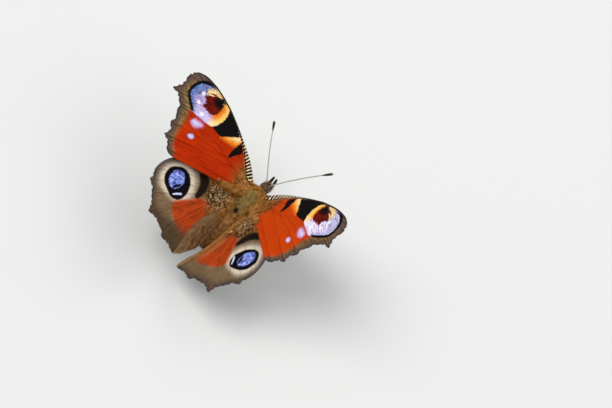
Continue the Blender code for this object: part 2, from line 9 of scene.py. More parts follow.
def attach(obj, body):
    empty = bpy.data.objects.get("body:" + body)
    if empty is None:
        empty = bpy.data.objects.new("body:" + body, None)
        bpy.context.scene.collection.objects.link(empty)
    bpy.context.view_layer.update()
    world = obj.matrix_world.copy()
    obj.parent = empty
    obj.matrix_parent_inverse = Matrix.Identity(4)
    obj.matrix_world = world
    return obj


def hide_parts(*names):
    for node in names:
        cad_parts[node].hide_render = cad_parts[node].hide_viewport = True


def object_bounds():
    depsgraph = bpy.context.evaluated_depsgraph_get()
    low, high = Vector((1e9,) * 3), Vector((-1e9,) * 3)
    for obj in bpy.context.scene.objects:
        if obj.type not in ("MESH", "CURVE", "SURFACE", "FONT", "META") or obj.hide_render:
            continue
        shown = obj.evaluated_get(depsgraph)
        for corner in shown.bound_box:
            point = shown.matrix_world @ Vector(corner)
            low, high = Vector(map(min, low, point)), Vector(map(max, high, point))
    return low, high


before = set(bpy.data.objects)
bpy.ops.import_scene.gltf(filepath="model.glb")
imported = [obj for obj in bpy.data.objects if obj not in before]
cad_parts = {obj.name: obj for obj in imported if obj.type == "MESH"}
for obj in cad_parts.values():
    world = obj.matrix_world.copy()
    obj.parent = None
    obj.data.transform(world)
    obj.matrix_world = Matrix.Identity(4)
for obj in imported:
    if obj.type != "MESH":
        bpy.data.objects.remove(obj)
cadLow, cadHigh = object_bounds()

print("stage: frame loaded")

mm = 0.001
chance = np.random.default_rng(7)
sides = {"left": -1.0, "right": 1.0}

# how the body stands, as in the solids: x to its right, y to its head, z to its back, in millimetres
body = {"pitch": 8.0, "at": (0.157, 4.75, 8.6)}


def bodyToFloor(points):
    pitch = math.radians(body["pitch"])
    c, s = math.cos(pitch), math.sin(pitch)
    p = np.asarray(points, float)
    x = p[..., 0] + body["at"][0]
    y = p[..., 1] * c - p[..., 2] * s + body["at"][1]
    z = p[..., 1] * s + p[..., 2] * c + body["at"][2]
    return np.stack([x, y, z], -1)


# smooth lines and distances, all in plain numpy

def smoothThrough(points, step):
    points = np.asarray(points, float)
    line = [points[0]]
    for i in range(len(points) - 1):
        before, start = points[max(i - 1, 0)], points[i]
        end, after = points[i + 1], points[min(i + 2, len(points) - 1)]
        count = max(1, round(float(np.linalg.norm(end - start)) / step))
        for t in np.arange(1, count + 1) / count:
            line.append(start * (2 * t**3 - 3 * t**2 + 1) + (end - before) / 2 * (t**3 - 2 * t**2 + t)
                        + end * (3 * t**2 - 2 * t**3) + (after - start) / 2 * (t**3 - t**2))
    return np.array(line)


def roundOutline(corners, step=0.35):
    # a closed outline with its corners eased
    corners = list(corners)
    wrapped = smoothThrough(corners[-2:] + corners + corners[:3], step)
    first = np.linalg.norm(wrapped - np.array(corners[0]), axis=1).argmin()
    rest = wrapped[first:]
    last = np.linalg.norm(rest[8:] - np.array(corners[0]), axis=1).argmin() + 8
    return rest[:last]


def lineDistance(points, line, closed=False):
    # distance to a line, how far along the line, and on which side of it
    a = line if closed else line[:-1]
    b = np.roll(line, -1, 0) if closed else line[1:]
    span = b - a
    lengths = np.linalg.norm(span, axis=1)
    starts = np.concatenate([[0], np.cumsum(lengths)[:-1]])
    gap = np.full(len(points), 1e9)
    along = np.zeros(len(points))
    left = np.zeros(len(points))
    for i in range(len(a)):
        away = points - a[i]
        share = np.clip(away @ span[i] / max(lengths[i] ** 2, 1e-12), 0, 1)
        reach = np.linalg.norm(away - share[:, None] * span[i], axis=1)
        nearer = reach < gap
        gap = np.where(nearer, reach, gap)
        along = np.where(nearer, starts[i] + share * lengths[i], along)
        left = np.where(nearer, np.sign(span[i][0] * away[:, 1] - span[i][1] * away[:, 0]), left)
    return gap, along, left


def outlineField(points, corners):
    # signed distance to a closed outline, positive inside
    x, y = points[:, 0], points[:, 1]
    odd = np.zeros(len(points), bool)
    for a, b in zip(corners, np.roll(corners, -1, 0)):
        rise = b[1] - a[1] if abs(b[1] - a[1]) > 1e-12 else 1e-12
        odd ^= ((a[1] > y) != (b[1] > y)) & (x < (b[0] - a[0]) * (y - a[1]) / rise + a[0])
    gap = lineDistance(points, np.asarray(corners), closed=True)[0]
    return np.where(odd, gap, -gap)


def mirrored(point, sign):
    return np.array(point) * (sign, 1, 1)


def smoothStep(value, low, high):
    t = np.clip((value - low) / (high - low), 0, 1)
    return t * t * (3 - 2 * t)


def unit(vectors):
    return vectors / np.maximum(np.linalg.norm(vectors, axis=-1, keepdims=True), 1e-12)


# pieces from arrays of points in millimetres

def makeMesh(name, points, faces):
    faces = np.asarray(faces, np.int32)
    mesh = bpy.data.meshes.new(name)
    mesh.vertices.add(len(points))
    mesh.vertices.foreach_set("co", (np.asarray(points) * mm).astype(np.float32).ravel())
    mesh.loops.add(faces.size)
    mesh.loops.foreach_set("vertex_index", faces.ravel())
    mesh.polygons.add(len(faces))
    mesh.polygons.foreach_set("loop_start", np.arange(len(faces), dtype=np.int32) * faces.shape[1])
    mesh.update(calc_edges=True)
    mesh.shade_smooth()
    return mesh


def setFields(mesh, fields):
    for name, values in fields.items():
        layer = mesh.attributes.new(name, "FLOAT", "POINT")
        layer.data.foreach_set("value", np.asarray(values, np.float32))


def grainFields(points):
    return {"grainAlong": points[:, 1], "grainAcross": points[:, 0], "grainDepth": points[:, 2]}


def setBakeMap(mesh, spots):
    layer = mesh.uv_layers.new(name="OFBake")
    corners = np.empty(len(mesh.loops), np.int32)
    mesh.loops.foreach_get("vertex_index", corners)
    layer.data.foreach_set("uv", np.clip(spots, 0, 1)[corners].astype(np.float32).ravel())


def addPiece(name, mesh, materials, replaced=()):
    piece = bpy.data.objects.new(name, mesh)
    bpy.context.scene.collection.objects.link(piece)
    for material in materials:
        mesh.materials.append(material)
    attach(piece, "root")
    if replaced:
        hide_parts(*replaced)
    return piece


def tubeArrays(points, radii, around=12):
    # a closed tube with its own radius at each point, in the points' own axes
    points = np.asarray(points, float)
    ahead = unit(np.gradient(points, axis=0))
    side = np.cross(ahead[0], [0.13, 0.31, 0.94])
    rings = []
    for point, direction, radius in zip(points, ahead, radii):
        side = unit(side - direction * (side @ direction))
        other = np.cross(direction, side)
        turn = np.linspace(0, 2 * math.pi, around, endpoint=False)[:, None]
        rings.append(point + (np.cos(turn) * side + np.sin(turn) * other) * radius)
    verts = np.concatenate(rings + [points[:1] - ahead[:1] * radii[0] * 0.4,
                                    points[-1:] + ahead[-1:] * radii[-1] * 0.4])
    faces = []
    for ring in range(len(points) - 1):
        for i in range(around):
            a, b = ring * around + i, ring * around + (i + 1) % around
            faces += [(a, b, b + around), (a, b + around, a + around)]
    start, end, last = len(verts) - 2, len(verts) - 1, (len(points) - 1) * around
    for i in range(around):
        faces += [(start, (i + 1) % around, i), (end, last + i, last + (i + 1) % around)]
    along = np.concatenate([np.repeat(np.linspace(0, 1, len(points)), around), [0, 1]])
    return verts, np.array(faces), along


# building blocks for the materials: nodes go to the newest material, and sums of signals read as plain sums

class Signal:
    def __init__(self, socket):
        self.socket = socket

    def __add__(self, other):
        return calc("ADD", self, other)

    def __sub__(self, other):
        return calc("SUBTRACT", self, other)

    def __rsub__(self, other):
        return calc("SUBTRACT", other, self)

    def __mul__(self, other):
        return calc("MULTIPLY", self, other)

    def __abs__(self):
        return calc("ABSOLUTE", self)


newest = {}


def newMaterial(name, roughness, sheen=0.0, specular=0.3):
    material = bpy.data.materials.new(name)
    material.use_nodes = True
    newest["tree"] = material.node_tree
    newest["shader"] = shader = material.node_tree.nodes["Principled BSDF"]
    shader.inputs["Roughness"].default_value = roughness
    shader.inputs["Specular IOR Level"].default_value = specular
    shader.inputs["Sheen Weight"].default_value = sheen
    shader.inputs["Sheen Roughness"].default_value = 0.4
    return material


def addNode(kind, inputs, output=0, **settings):
    node = newest["tree"].nodes.new(kind)
    for key, value in settings.items():
        setattr(node, key, value)
    for key, value in inputs.items():
        if isinstance(value, Signal):
            newest["tree"].links.new(value.socket, node.inputs[key])
        else:
            node.inputs[key].default_value = value
    return Signal(node.outputs[output])


def calc(operation, a, b=0.0):
    return addNode("ShaderNodeMath", {0: a, 1: b}, operation=operation)


def field(name):
    return addNode("ShaderNodeAttribute", {}, output=2, attribute_name=name)


def between(value, low, high, start=0.0, end=1.0):
    return addNode("ShaderNodeMapRange", {0: value, 1: low, 2: high, 3: start, 4: end},
                   interpolation_type="SMOOTHSTEP")


def blend(share, under, over):
    def colour(value):
        return value if isinstance(value, Signal) else (*value, 1.0)
    return addNode("ShaderNodeMix", {0: share, 6: colour(under), 7: colour(over)}, output=2, data_type="RGBA")


def tint(colour, shade):
    return addNode("ShaderNodeMix", {0: 1.0, 6: colour, 7: shade}, output=2, data_type="RGBA", blend_type="MULTIPLY")


def place(x=1.0, y=1.0, z=1.0):
    # a place on the piece for the textures: millimetres along, across and deep
    along, across, depth = field("grainAlong") * x, field("grainAcross") * y, field("grainDepth") * z
    return addNode("ShaderNodeCombineXYZ", {0: along, 1: across, 2: depth})


def noise(vector, detail=2.0, roughness=0.55):
    return addNode("ShaderNodeTexNoise", {"Vector": vector, "Scale": 1.0, "Detail": detail, "Roughness": roughness})


def grain(scales, detail=2.0, roughness=0.55):
    return noise(place(*scales), detail, roughness)


def paint(colour):
    newest["tree"].links.new(colour.socket, newest["shader"].inputs["Base Color"])


def bump(height, strength, depth):
    shaped = addNode("ShaderNodeBump", {"Strength": strength, "Distance": depth * mm, "Height": height})
    newest["tree"].links.new(shaped.socket, newest["shader"].inputs["Normal"])


# the wings' pose and shapes, as in the solids

wingPose = {
    "hinge": (2.2, 0.0, 1.0), "raise": {"left": 38.8, "right": 40.6}, "tilt": {"left": -10.4, "right": 0.8},
    "sweep": {"forewing": {"left": 30.5, "right": 32.2}, "hindwing": {"left": 20.0, "right": 23.3}},
    "root": {"forewing": (0.0, 1.8), "hindwing": (0.0, -1.6)}, "lift": {"forewing": 0.6, "hindwing": -0.6},
    "span": 20.0, "camber": (0.64, 0.96, 2.41, 1.13, -0.53),
    "curl": {"left": (2.8, -1.5, 0.0), "right": (-0.15, -0.35, -0.6)},
    "crease": [(0.9, -2.6), (3.6, -6.4), (5.9, -9.9), (7.1, -12.8), (7.9, -15.6), (8.3, -18.6), (8.6, -21.7)],
    "foldDrop": 2.4, "foldWidth": 4.3, "foldCurve": 1.3,
}
forewingShape = {
    "costa": [(-1.2, 0.6), (-0.3, 1.6), (2.4, 5.4), (7.4, 9.8), (13.9, 14.5), (19.1, 17.2), (22.8, 18.3)],
    "teeth": {"R4": ((25.4, 18.2), 0.0), "R5": ((26.9, 16.9), 0.7), "M1": ((29.5, 12.4), 0.5),
              "M2": ((26.7, 9.9), 0.3), "M3": ((26.5, 8.0), 0.6), "CuA1": ((26.9, 4.9), 0.8),
              "CuA2": ((27.3, 1.6), 0.5), "1A": ((25.4, -1.3), 0.0)},
    "inner": [(23.3, -2.4), (15.0, -2.5), (6.0, -2.3), (0.0, -1.7), (-1.2, -1.2)],
    "veins": [
        [(0.2, 0.9), (6.4, 7.2), (13.9, 14.5)], [(0.2, 0.3), (6.0, 5.2), (8.8, 7.3), (11.6, 9.3)],
        [(8.8, 7.3), (13.4, 12.0), (19.1, 17.2)], [(11.6, 9.3), (17.3, 13.6), (22.8, 18.3)],
        [(17.3, 13.6), (21.6, 16.2), "R4"], [(17.3, 13.6), (22.4, 15.6), "R5"], [(12.3, 8.7), (20.5, 11.1), "M1"],
        [(12.9, 7.4), (19.8, 9.0), "M2"], [(12.7, 5.3), (19.6, 6.9), "M3"], [(9.4, 3.6), (18.0, 4.7), "CuA1"],
        [(6.6, 2.4), (16.5, 2.0), "CuA2"], [(0.2, -0.2), (6.6, 2.4), (9.4, 3.6), (12.7, 5.3)],
        [(0.2, -0.7), (12.0, -1.0), "1A"], [(11.6, 9.3), (12.3, 8.7), (12.9, 7.4), (12.7, 5.3)]],
}
hindwingShape = {
    "costa": [(-1.2, 0.2), (0.4, 1.3), (4.0, 2.4), (9.5, 2.4), (15.0, 0.7), (19.0, -1.7), (21.7, -4.6)],
    "teeth": {"Rs": ((23.0, -7.8), 0.3), "M1": ((23.1, -10.9), 0.4), "M2": ((21.2, -13.4), 0.5),
              "M3": ((20.4, -18.0), 0.6), "CuA1": ((14.9, -19.0), 0.3), "CuA2": ((13.7, -20.5), 0.4),
              "2A": ((8.6, -21.7), 0.0)},
    "inner": [(6.4, -20.1), (4.1, -17.8), (1.7, -15.2), (1.0, -12.4), (0.8, -9.3), (0.2, -6.2), (-0.6, -3.8),
              (-1.2, -2.2)],
    "veins": [
        [(0.2, 0.3), (9.5, 0.9), (21.7, -4.6)], [(0.2, -0.3), (4.0, -1.1), (14.0, -3.5), "Rs"],
        [(4.0, -1.1), (6.6, -3.1), (15.3, -6.5), "M1"], [(7.5, -4.4), (14.8, -9.2), "M2"],
        [(7.7, -6.0), (14.0, -12.2), "M3"], [(6.4, -6.2), (10.8, -12.8), "CuA1"],
        [(4.8, -5.2), (9.8, -12.8), "CuA2"], [(0.2, -0.9), (4.8, -5.2), (6.4, -6.2), (7.7, -6.0)],
        [(6.6, -3.1), (7.5, -4.4), (7.7, -6.0)], [(0.2, -1.5), (3.6, -6.4), (7.1, -12.8), (8.3, -18.6), "2A"],
        [(0.6, -2.4), (3.2, -8.4), (4.6, -13.4)]],
}
wingShapes = {"forewing": forewingShape, "hindwing": hindwingShape}
wingBuild = {
    "thickness": 0.16, "raised": 0.12, "grain": 0.3, "veinHeight": 0.07, "veinHalfWidth": 0.17, "sag": 0.07,
    "inset": 0.12, "wave": 0.17, "waveLength": 1.3,
}


def wingPlaces(flat, wing, side, above=0.0):
    # where points of the flat wing lie in the body's own axes
    pose = wingPose
    sign = sides[side]
    sweep = math.radians(-pose["sweep"][wing][side])
    out = flat[:, 0] * math.cos(sweep) - flat[:, 1] * math.sin(sweep) + pose["root"][wing][0]
    front = flat[:, 0] * math.sin(sweep) + flat[:, 1] * math.cos(sweep) + pose["root"][wing][1]
    u, v = out / pose["span"], front / pose["span"]
    k = pose["camber"]
    level = k[0] * u * u + k[1] * v * v + k[2] * u * v + k[3] * v**3 + k[4] * u**3 + pose["lift"][wing] + above
    if wing == "hindwing":
        tail, outer, rear = pose["curl"][side]
        gap, _, left = lineDistance(flat, np.array(pose["crease"]))
        drop = pose["foldDrop"] * (gap / pose["foldWidth"]) ** pose["foldCurve"]
        level = level + tail * u * v**4 + outer * u * v * v + rear * v**3 - np.where(left < 0, drop, 0)
    turn = Euler((math.radians(pose["tilt"][side]), -sign * math.radians(pose["raise"][side]), 0)).to_matrix()
    hinge = mirrored(pose["hinge"], sign)
    return np.stack([out * sign, front, level], 1) @ np.array(turn).T + hinge


def wingNormals(flat, wing, side):
    step = 0.05
    middle = wingPlaces(flat, wing, side)
    alongX = wingPlaces(flat + (step, 0), wing, side) - middle
    alongY = wingPlaces(flat + (0, step), wing, side) - middle
    return unit(np.cross(alongX, alongY)) * sides[side], unit(alongX), unit(alongY)


def wingOutline(shape, step, inset=0.0):
    teeth = list(shape["teeth"].values())
    costa = smoothThrough(shape["costa"] + [teeth[0][0]], step)
    margin = []
    for (tip, dip), (nextTip, _) in zip(teeth, teeth[1:]):
        start, span = np.array(tip), np.array(nextTip) - np.array(tip)
        inward = unit(np.array([span[1], -span[0]]))
        count = max(3, round(float(np.linalg.norm(span)) / step))
        waves = round(float(np.linalg.norm(span)) / wingBuild["waveLength"])
        for t in np.arange(1, count + 1) / count:
            wave = wingBuild["wave"] * math.sin(2 * math.pi * t * waves) * math.sin(math.pi * t)
            margin.append(start + span * t + inward * (dip * math.sin(math.pi * t) ** 1.8 + wave))
    inner = smoothThrough([teeth[-1][0]] + shape["inner"], step)[1:]
    line = np.concatenate([costa, np.array(margin), inner])
    if inset:
        ahead = unit(np.roll(line, -1, 0) - np.roll(line, 1, 0))
        share = np.zeros(len(line))
        share[len(costa) - 2:len(costa) + len(margin)] = 1.0
        line = line + np.stack([ahead[:, 1], -ahead[:, 0]], 1) * (inset * share)[:, None]
    return line


def veinLines(shape, step):
    lines = []
    for vein in shape["veins"]:
        points = [shape["teeth"][p][0] if isinstance(p, str) else p for p in vein]
        lines.append(smoothThrough(points, step))
    return lines


def veinGap(flat, lines):
    return np.min([lineDistance(flat, line)[0] for line in lines], axis=0)


# the markings, drawn on the flat wing: first number outward from the root, second to the front

forewingMarks = {
    "eye": [(17.2, 16.1), (19.4, 17.0), (21.2, 17.5), (23.0, 17.2), (24.4, 16.3), (25.4, 14.8), (25.8, 13.3),
            (25.3, 11.9), (24.2, 10.5), (23.3, 9.5), (22.4, 8.95), (20.6, 8.75), (18.4, 8.5), (16.7, 8.6),
            (15.6, 9.4), (14.5, 10.8), (13.9, 12.4), (14.0, 13.8), (14.9, 14.8), (16.2, 15.7)],
    "eyeCore": [(20.6, 14.5), (19.3, 15.1), (17.7, 15.2), (16.2, 14.7), (15.6, 13.4), (15.9, 12.3), (16.7, 11.2),
                (17.9, 10.7), (19.2, 11.0), (20.7, 11.8), (20.4, 13.0), (21.0, 13.9)],
    "eyeBlot": [(18.6, 14.2), (18.1, 14.9), (17.2, 15.3), (16.3, 15.9), (15.3, 16.1), (15.2, 15.1), (15.6, 14.2),
                (15.5, 13.2), (16.2, 12.8), (17.0, 13.0), (18.0, 13.4)],
    "creamTop": [(21.0, 15.5), (20.2, 16.3), (18.6, 16.6), (17.0, 16.4), (16.2, 15.7), (17.4, 14.7), (19.4, 14.3),
                 (20.7, 14.5)],
    "largeSpot": [(22.7, 7.3), (21.7, 8.3), (20.1, 8.3), (18.6, 7.9), (18.5, 7.2), (19.4, 6.5), (20.4, 6.1),
                  (21.5, 6.1), (22.4, 6.6)],
    "smallSpot": [(19.8, 4.0), (20.3, 4.6), (21.1, 4.5), (21.7, 3.9), (21.2, 3.4), (20.3, 3.4)],
    "costalPatch": [(7.6, 10.9), (9.3, 12.5), (12.0, 14.3), (15.2, 16.0), (14.6, 13.8), (14.4, 12.2), (14.9, 10.9),
                    (15.9, 9.8), (17.0, 8.8), (16.3, 8.35), (14.9, 7.8), (13.2, 7.35), (11.8, 7.9), (9.6, 8.8),
                    (8.0, 9.5)],
    "creamPatch": [(7.5, 10.3), (8.1, 9.8), (9.6, 9.0), (11.8, 8.0), (13.0, 7.4), (11.3, 7.2), (9.8, 7.0),
                   (8.6, 7.1), (7.6, 7.8), (6.8, 9.0), (7.0, 9.8)],
    "wedge": [(6.9, 8.4), (5.9, 6.3), (7.2, 5.3), (8.3, 4.3), (9.2, 3.7), (8.9, 5.2), (8.4, 6.3), (7.7, 7.5)],
    "stripeZone": [(-1.6, 0.8), (1.9, 5.9), (7.6, 10.8), (9.6, 12.4), (9.5, 11.1), (8.3, 9.7), (6.8, 8.3),
                   (5.5, 6.7), (4.2, 4.8), (3.2, 3.1), (2.1, 1.5), (0.0, 0.2)],
    "inside": [(22.4, 9.9), (23.9, 8.6), (23.6, 7.0), (24.0, 5.4), (24.3, 3.4), (24.6, 1.5), (24.1, -0.2),
               (23.2, -1.4), (22.4, -3.5), (-3.0, -4.0), (-3.0, 4.0), (6.0, 12.0), (13.8, 15.6), (17.2, 16.1),
               (16.7, 9.8), (20.6, 9.9)],
    "dots": [(21.75, 14.35), (22.05, 12.05), (20.2, 9.8)],
}
hindwingMarks = {
    "oval": [(18.5, -4.2), (17.0, -3.45), (15.5, -3.5), (14.0, -4.5), (13.3, -5.7), (13.0, -6.9), (13.1, -8.3),
             (13.6, -9.5), (14.5, -10.4), (16.1, -10.8), (17.3, -10.3), (18.4, -9.6), (19.4, -8.8), (19.9, -7.5),
             (19.9, -6.2), (19.5, -5.1)],
    "blue": [(17.3, -4.2), (16.0, -4.0), (15.0, -4.9), (14.5, -6.0), (14.7, -7.2), (15.4, -8.4), (16.5, -9.2),
             (17.9, -8.9), (18.7, -7.8), (18.9, -6.6), (18.5, -5.2)],
    "notch": [(15.1, -6.9), (15.7, -7.3), (16.3, -7.9), (16.8, -8.7), (16.4, -8.8), (15.9, -8.2), (15.2, -7.5)],
    "dash": [(13.8, -8.6), (14.8, -9.1), (16.0, -10.1), (15.9, -10.3), (14.7, -9.5), (13.7, -8.9)],
    "crescent": [(11.9, -1.9), (10.6, -1.3), (9.3, -1.8), (8.8, -3.1), (8.8, -4.8), (9.7, -6.9), (10.4, -6.7),
                 (10.4, -4.9), (10.8, -3.3)],
    "red": [(9.6, -6.9), (11.0, -8.2), (13.0, -9.7), (14.5, -11.1), (14.8, -12.2), (14.1, -13.6), (12.6, -15.0),
            (11.0, -16.2), (9.0, -17.0), (8.1, -16.6), (7.6, -15.0), (7.0, -12.5), (6.0, -10.0), (4.9, -8.2),
            (5.3, -6.7), (7.4, -6.2)],
    "paleHair": [(8.6, -2.2), (5.8, -1.2), (2.0, -0.6), (1.4, -3.0), (3.8, -6.3), (7.0, -7.5), (8.2, -5.0)],
}


def wingFields(flat, wing):
    # every marking as a distance in millimetres, so that its edge stays crisp at any size
    shape = wingShapes[wing]
    margin = wingOutline(shape, 0.5)
    costa = smoothThrough(shape["costa"], 0.5)
    reach = np.hypot(flat[:, 0] + 2.0, flat[:, 1])
    fanX, fanY = (-14.0, 2.8) if wing == "forewing" else (0.2, 3.0)
    ray = np.arctan2(flat[:, 1] - fanY, flat[:, 0] - fanX)
    fields = {
        "grainAlong": np.hypot(flat[:, 0] - fanX, flat[:, 1] - fanY),
        "grainAcross": ray * (28.0 if wing == "forewing" else 15.0), "grainDepth": flat[:, 1] * 0.3,
        "edge": np.abs(outlineField(flat, margin)), "vein": veinGap(flat, veinLines(shape, 1.0)),
        "flatX": flat[:, 0], "flatY": flat[:, 1], "reach": reach,
    }
    marks = forewingMarks if wing == "forewing" else hindwingMarks
    for name, corners in marks.items():
        if name != "dots":
            fields[name] = outlineField(flat, roundOutline(corners))
    if wing == "forewing":
        gap, along, _ = lineDistance(flat, costa)
        fields["costaGap"] = gap
        fields["costaAlong"] = along
        fields["dots"] = 0.45 - np.min([np.linalg.norm(flat - np.array(dot), axis=1) for dot in marks["dots"]],
                                       axis=0)
    else:
        gap, _, left = lineDistance(flat, np.array(wingPose["crease"]))
        fields["fold"] = np.where(left < 0, gap, -gap)
    return fields


def flatWing(shape):
    # an even web of triangles with the veins' crests among its edges
    build = wingBuild
    outline = wingOutline(shape, build["grain"], build["inset"])
    points = [outline]
    edges = [(i, (i + 1) % len(outline)) for i in range(len(outline))]
    count = len(outline)
    lines = veinLines(shape, 0.45)
    for line in lines:
        kept = line[outlineField(line, outline) > 0.12]
        points.append(kept)
        edges += [(count + i, count + i + 1) for i in range(len(kept) - 1)
                  if np.linalg.norm(kept[i + 1] - kept[i]) < 1.0]
        count += len(kept)
    low, high = outline.min(0), outline.max(0)
    rows = np.arange(low[1], high[1], build["grain"] * 0.87)
    columns = np.arange(low[0], high[0], build["grain"])
    lattice = np.array([(x + (i % 2) * build["grain"] / 2, y) for i, y in enumerate(rows) for x in columns])
    lattice = lattice[outlineField(lattice, outline) > build["grain"] * 0.5]
    lattice = lattice[veinGap(lattice, lines) > 0.1]
    points = np.concatenate(points + [lattice])
    result = delaunay_2d_cdt([Vector(p) for p in points], edges, [], 0, 1e-4)
    flat = np.array([tuple(p) for p in result[0]])
    faces = np.array(result[2])
    faces = faces[outlineField(flat[faces].mean(1), outline) > 0]
    used = np.unique(faces)
    order = np.full(len(flat), -1)
    order[used] = np.arange(len(used))
    return flat[used], order[faces]


def makeWing(wing, side, flat, faces, fields, materials):
    build = wingBuild
    gap = fields["vein"]
    ridge = build["veinHeight"] * np.exp(-(gap / build["veinHalfWidth"]) ** 2)
    sag = build["raised"] - build["sag"] * smoothStep(gap, 0.0, 1.3)
    half = build["thickness"] / 2
    thin = smoothStep(fields["edge"], 0.2, 1.2) * 0.7 + 0.3
    upper = wingPlaces(flat, wing, side, sag + (half + ridge) * thin)
    lower = wingPlaces(flat, wing, side, sag - (half + ridge) * thin)
    count = len(flat)
    pairs = np.concatenate([faces[:, [0, 1]], faces[:, [1, 2]], faces[:, [2, 0]]])
    known = {(a, b) for a, b in pairs.tolist()}
    rim = np.array([(a, b) for a, b in known if (b, a) not in known])
    rimFaces = np.concatenate([np.stack([rim[:, 1], rim[:, 0], rim[:, 0] + count], 1),
                               np.stack([rim[:, 1], rim[:, 0] + count, rim[:, 1] + count], 1)])
    allFaces = np.concatenate([faces, faces[:, ::-1] + count, rimFaces])
    if side == "left":
        allFaces = allFaces[:, ::-1]
    name = wing + side.capitalize()
    mesh = makeMesh(name, bodyToFloor(np.concatenate([upper, lower])), allFaces)
    setFields(mesh, {key: np.tile(value, 2) for key, value in fields.items()})
    under = np.zeros(len(allFaces), np.int32)
    under[len(faces):] = 1
    addPiece(name, mesh, materials, [wing + "_" + side])
    mesh.polygons.foreach_set("material_index", under)


# wing finishes

forewingColours = {
    "brick": (0.46, 0.030, 0.001), "brickDeep": (0.31, 0.014, 0.001), "vein": (0.14, 0.012, 0.004),
    "orangeRed": (0.55, 0.058, 0.003), "base": (0.22, 0.095, 0.018), "band": (0.165, 0.098, 0.038),
    "bandDark": (0.032, 0.021, 0.016), "bandGold": (0.31, 0.19, 0.06), "bandPurple": (0.10, 0.066, 0.056),
    "black": (0.005, 0.004, 0.004), "cream": (0.86, 0.54, 0.135), "amber": (0.74, 0.185, 0.010),
    "maroon": (0.075, 0.005, 0.003), "coreRed": (0.22, 0.013, 0.002), "streakRed": (0.16, 0.02, 0.035),
    "lilac": (0.43, 0.33, 0.60), "blue": (0.11, 0.215, 0.50), "pink": (0.25, 0.07, 0.18),
    "white": (0.56, 0.53, 0.77), "blush": (0.52, 0.16, 0.26), "blueDeep": (0.03, 0.07, 0.20),
    "frost": (0.36, 0.46, 0.74), "bar": (0.82, 0.65, 0.41), "pale": (0.90, 0.72, 0.40), "dot": (0.86, 0.84, 0.98),
    "lilacPale": (0.52, 0.35, 0.58),
}
eyeBlue = {"left": 1.0, "right": 0.45}
barPitch = {"left": 0.8, "right": 1.0}
eyeShift = {"left": 0.36, "right": -0.3}  # how much nearer to the root the eyespot's edge lies
ovalShift = {"left": 0.3, "right": -0.3}


def marking(name, ragged, soft=0.09, shift=0.0, spread=0.22):
    # 1 inside a marking and 0 outside, with an edge that is a little ragged, scale by scale
    return between(field(name) + (ragged - 0.5) * (spread * 2) + shift, -soft, soft)


def wingBump(strength=0.35):
    scales = grain((2.2, 9.0), 2.0, 0.6)
    rows = grain((9.0, 3.0), 1.0, 0.5)
    ridge = between(field("vein"), 0.0, 0.3, 1.0, 0.0)
    bump(scales * 0.6 + rows * 0.5 + ridge * 0.8, strength, 0.09)


def wingGrain(across):
    ragged = grain((3.2, 5.0), 3.0, 0.65)
    streak = grain((0.35, across), 3.0, 0.6)
    fine = grain((2.4, 9.0), 2.0, 0.6)
    return ragged, streak, fine


def finishUpper(colour, fine):
    # each row of scales a little lighter or darker
    paint(tint(colour, between(fine, 0.2, 0.8, 0.78, 1.18)))
    wingBump()


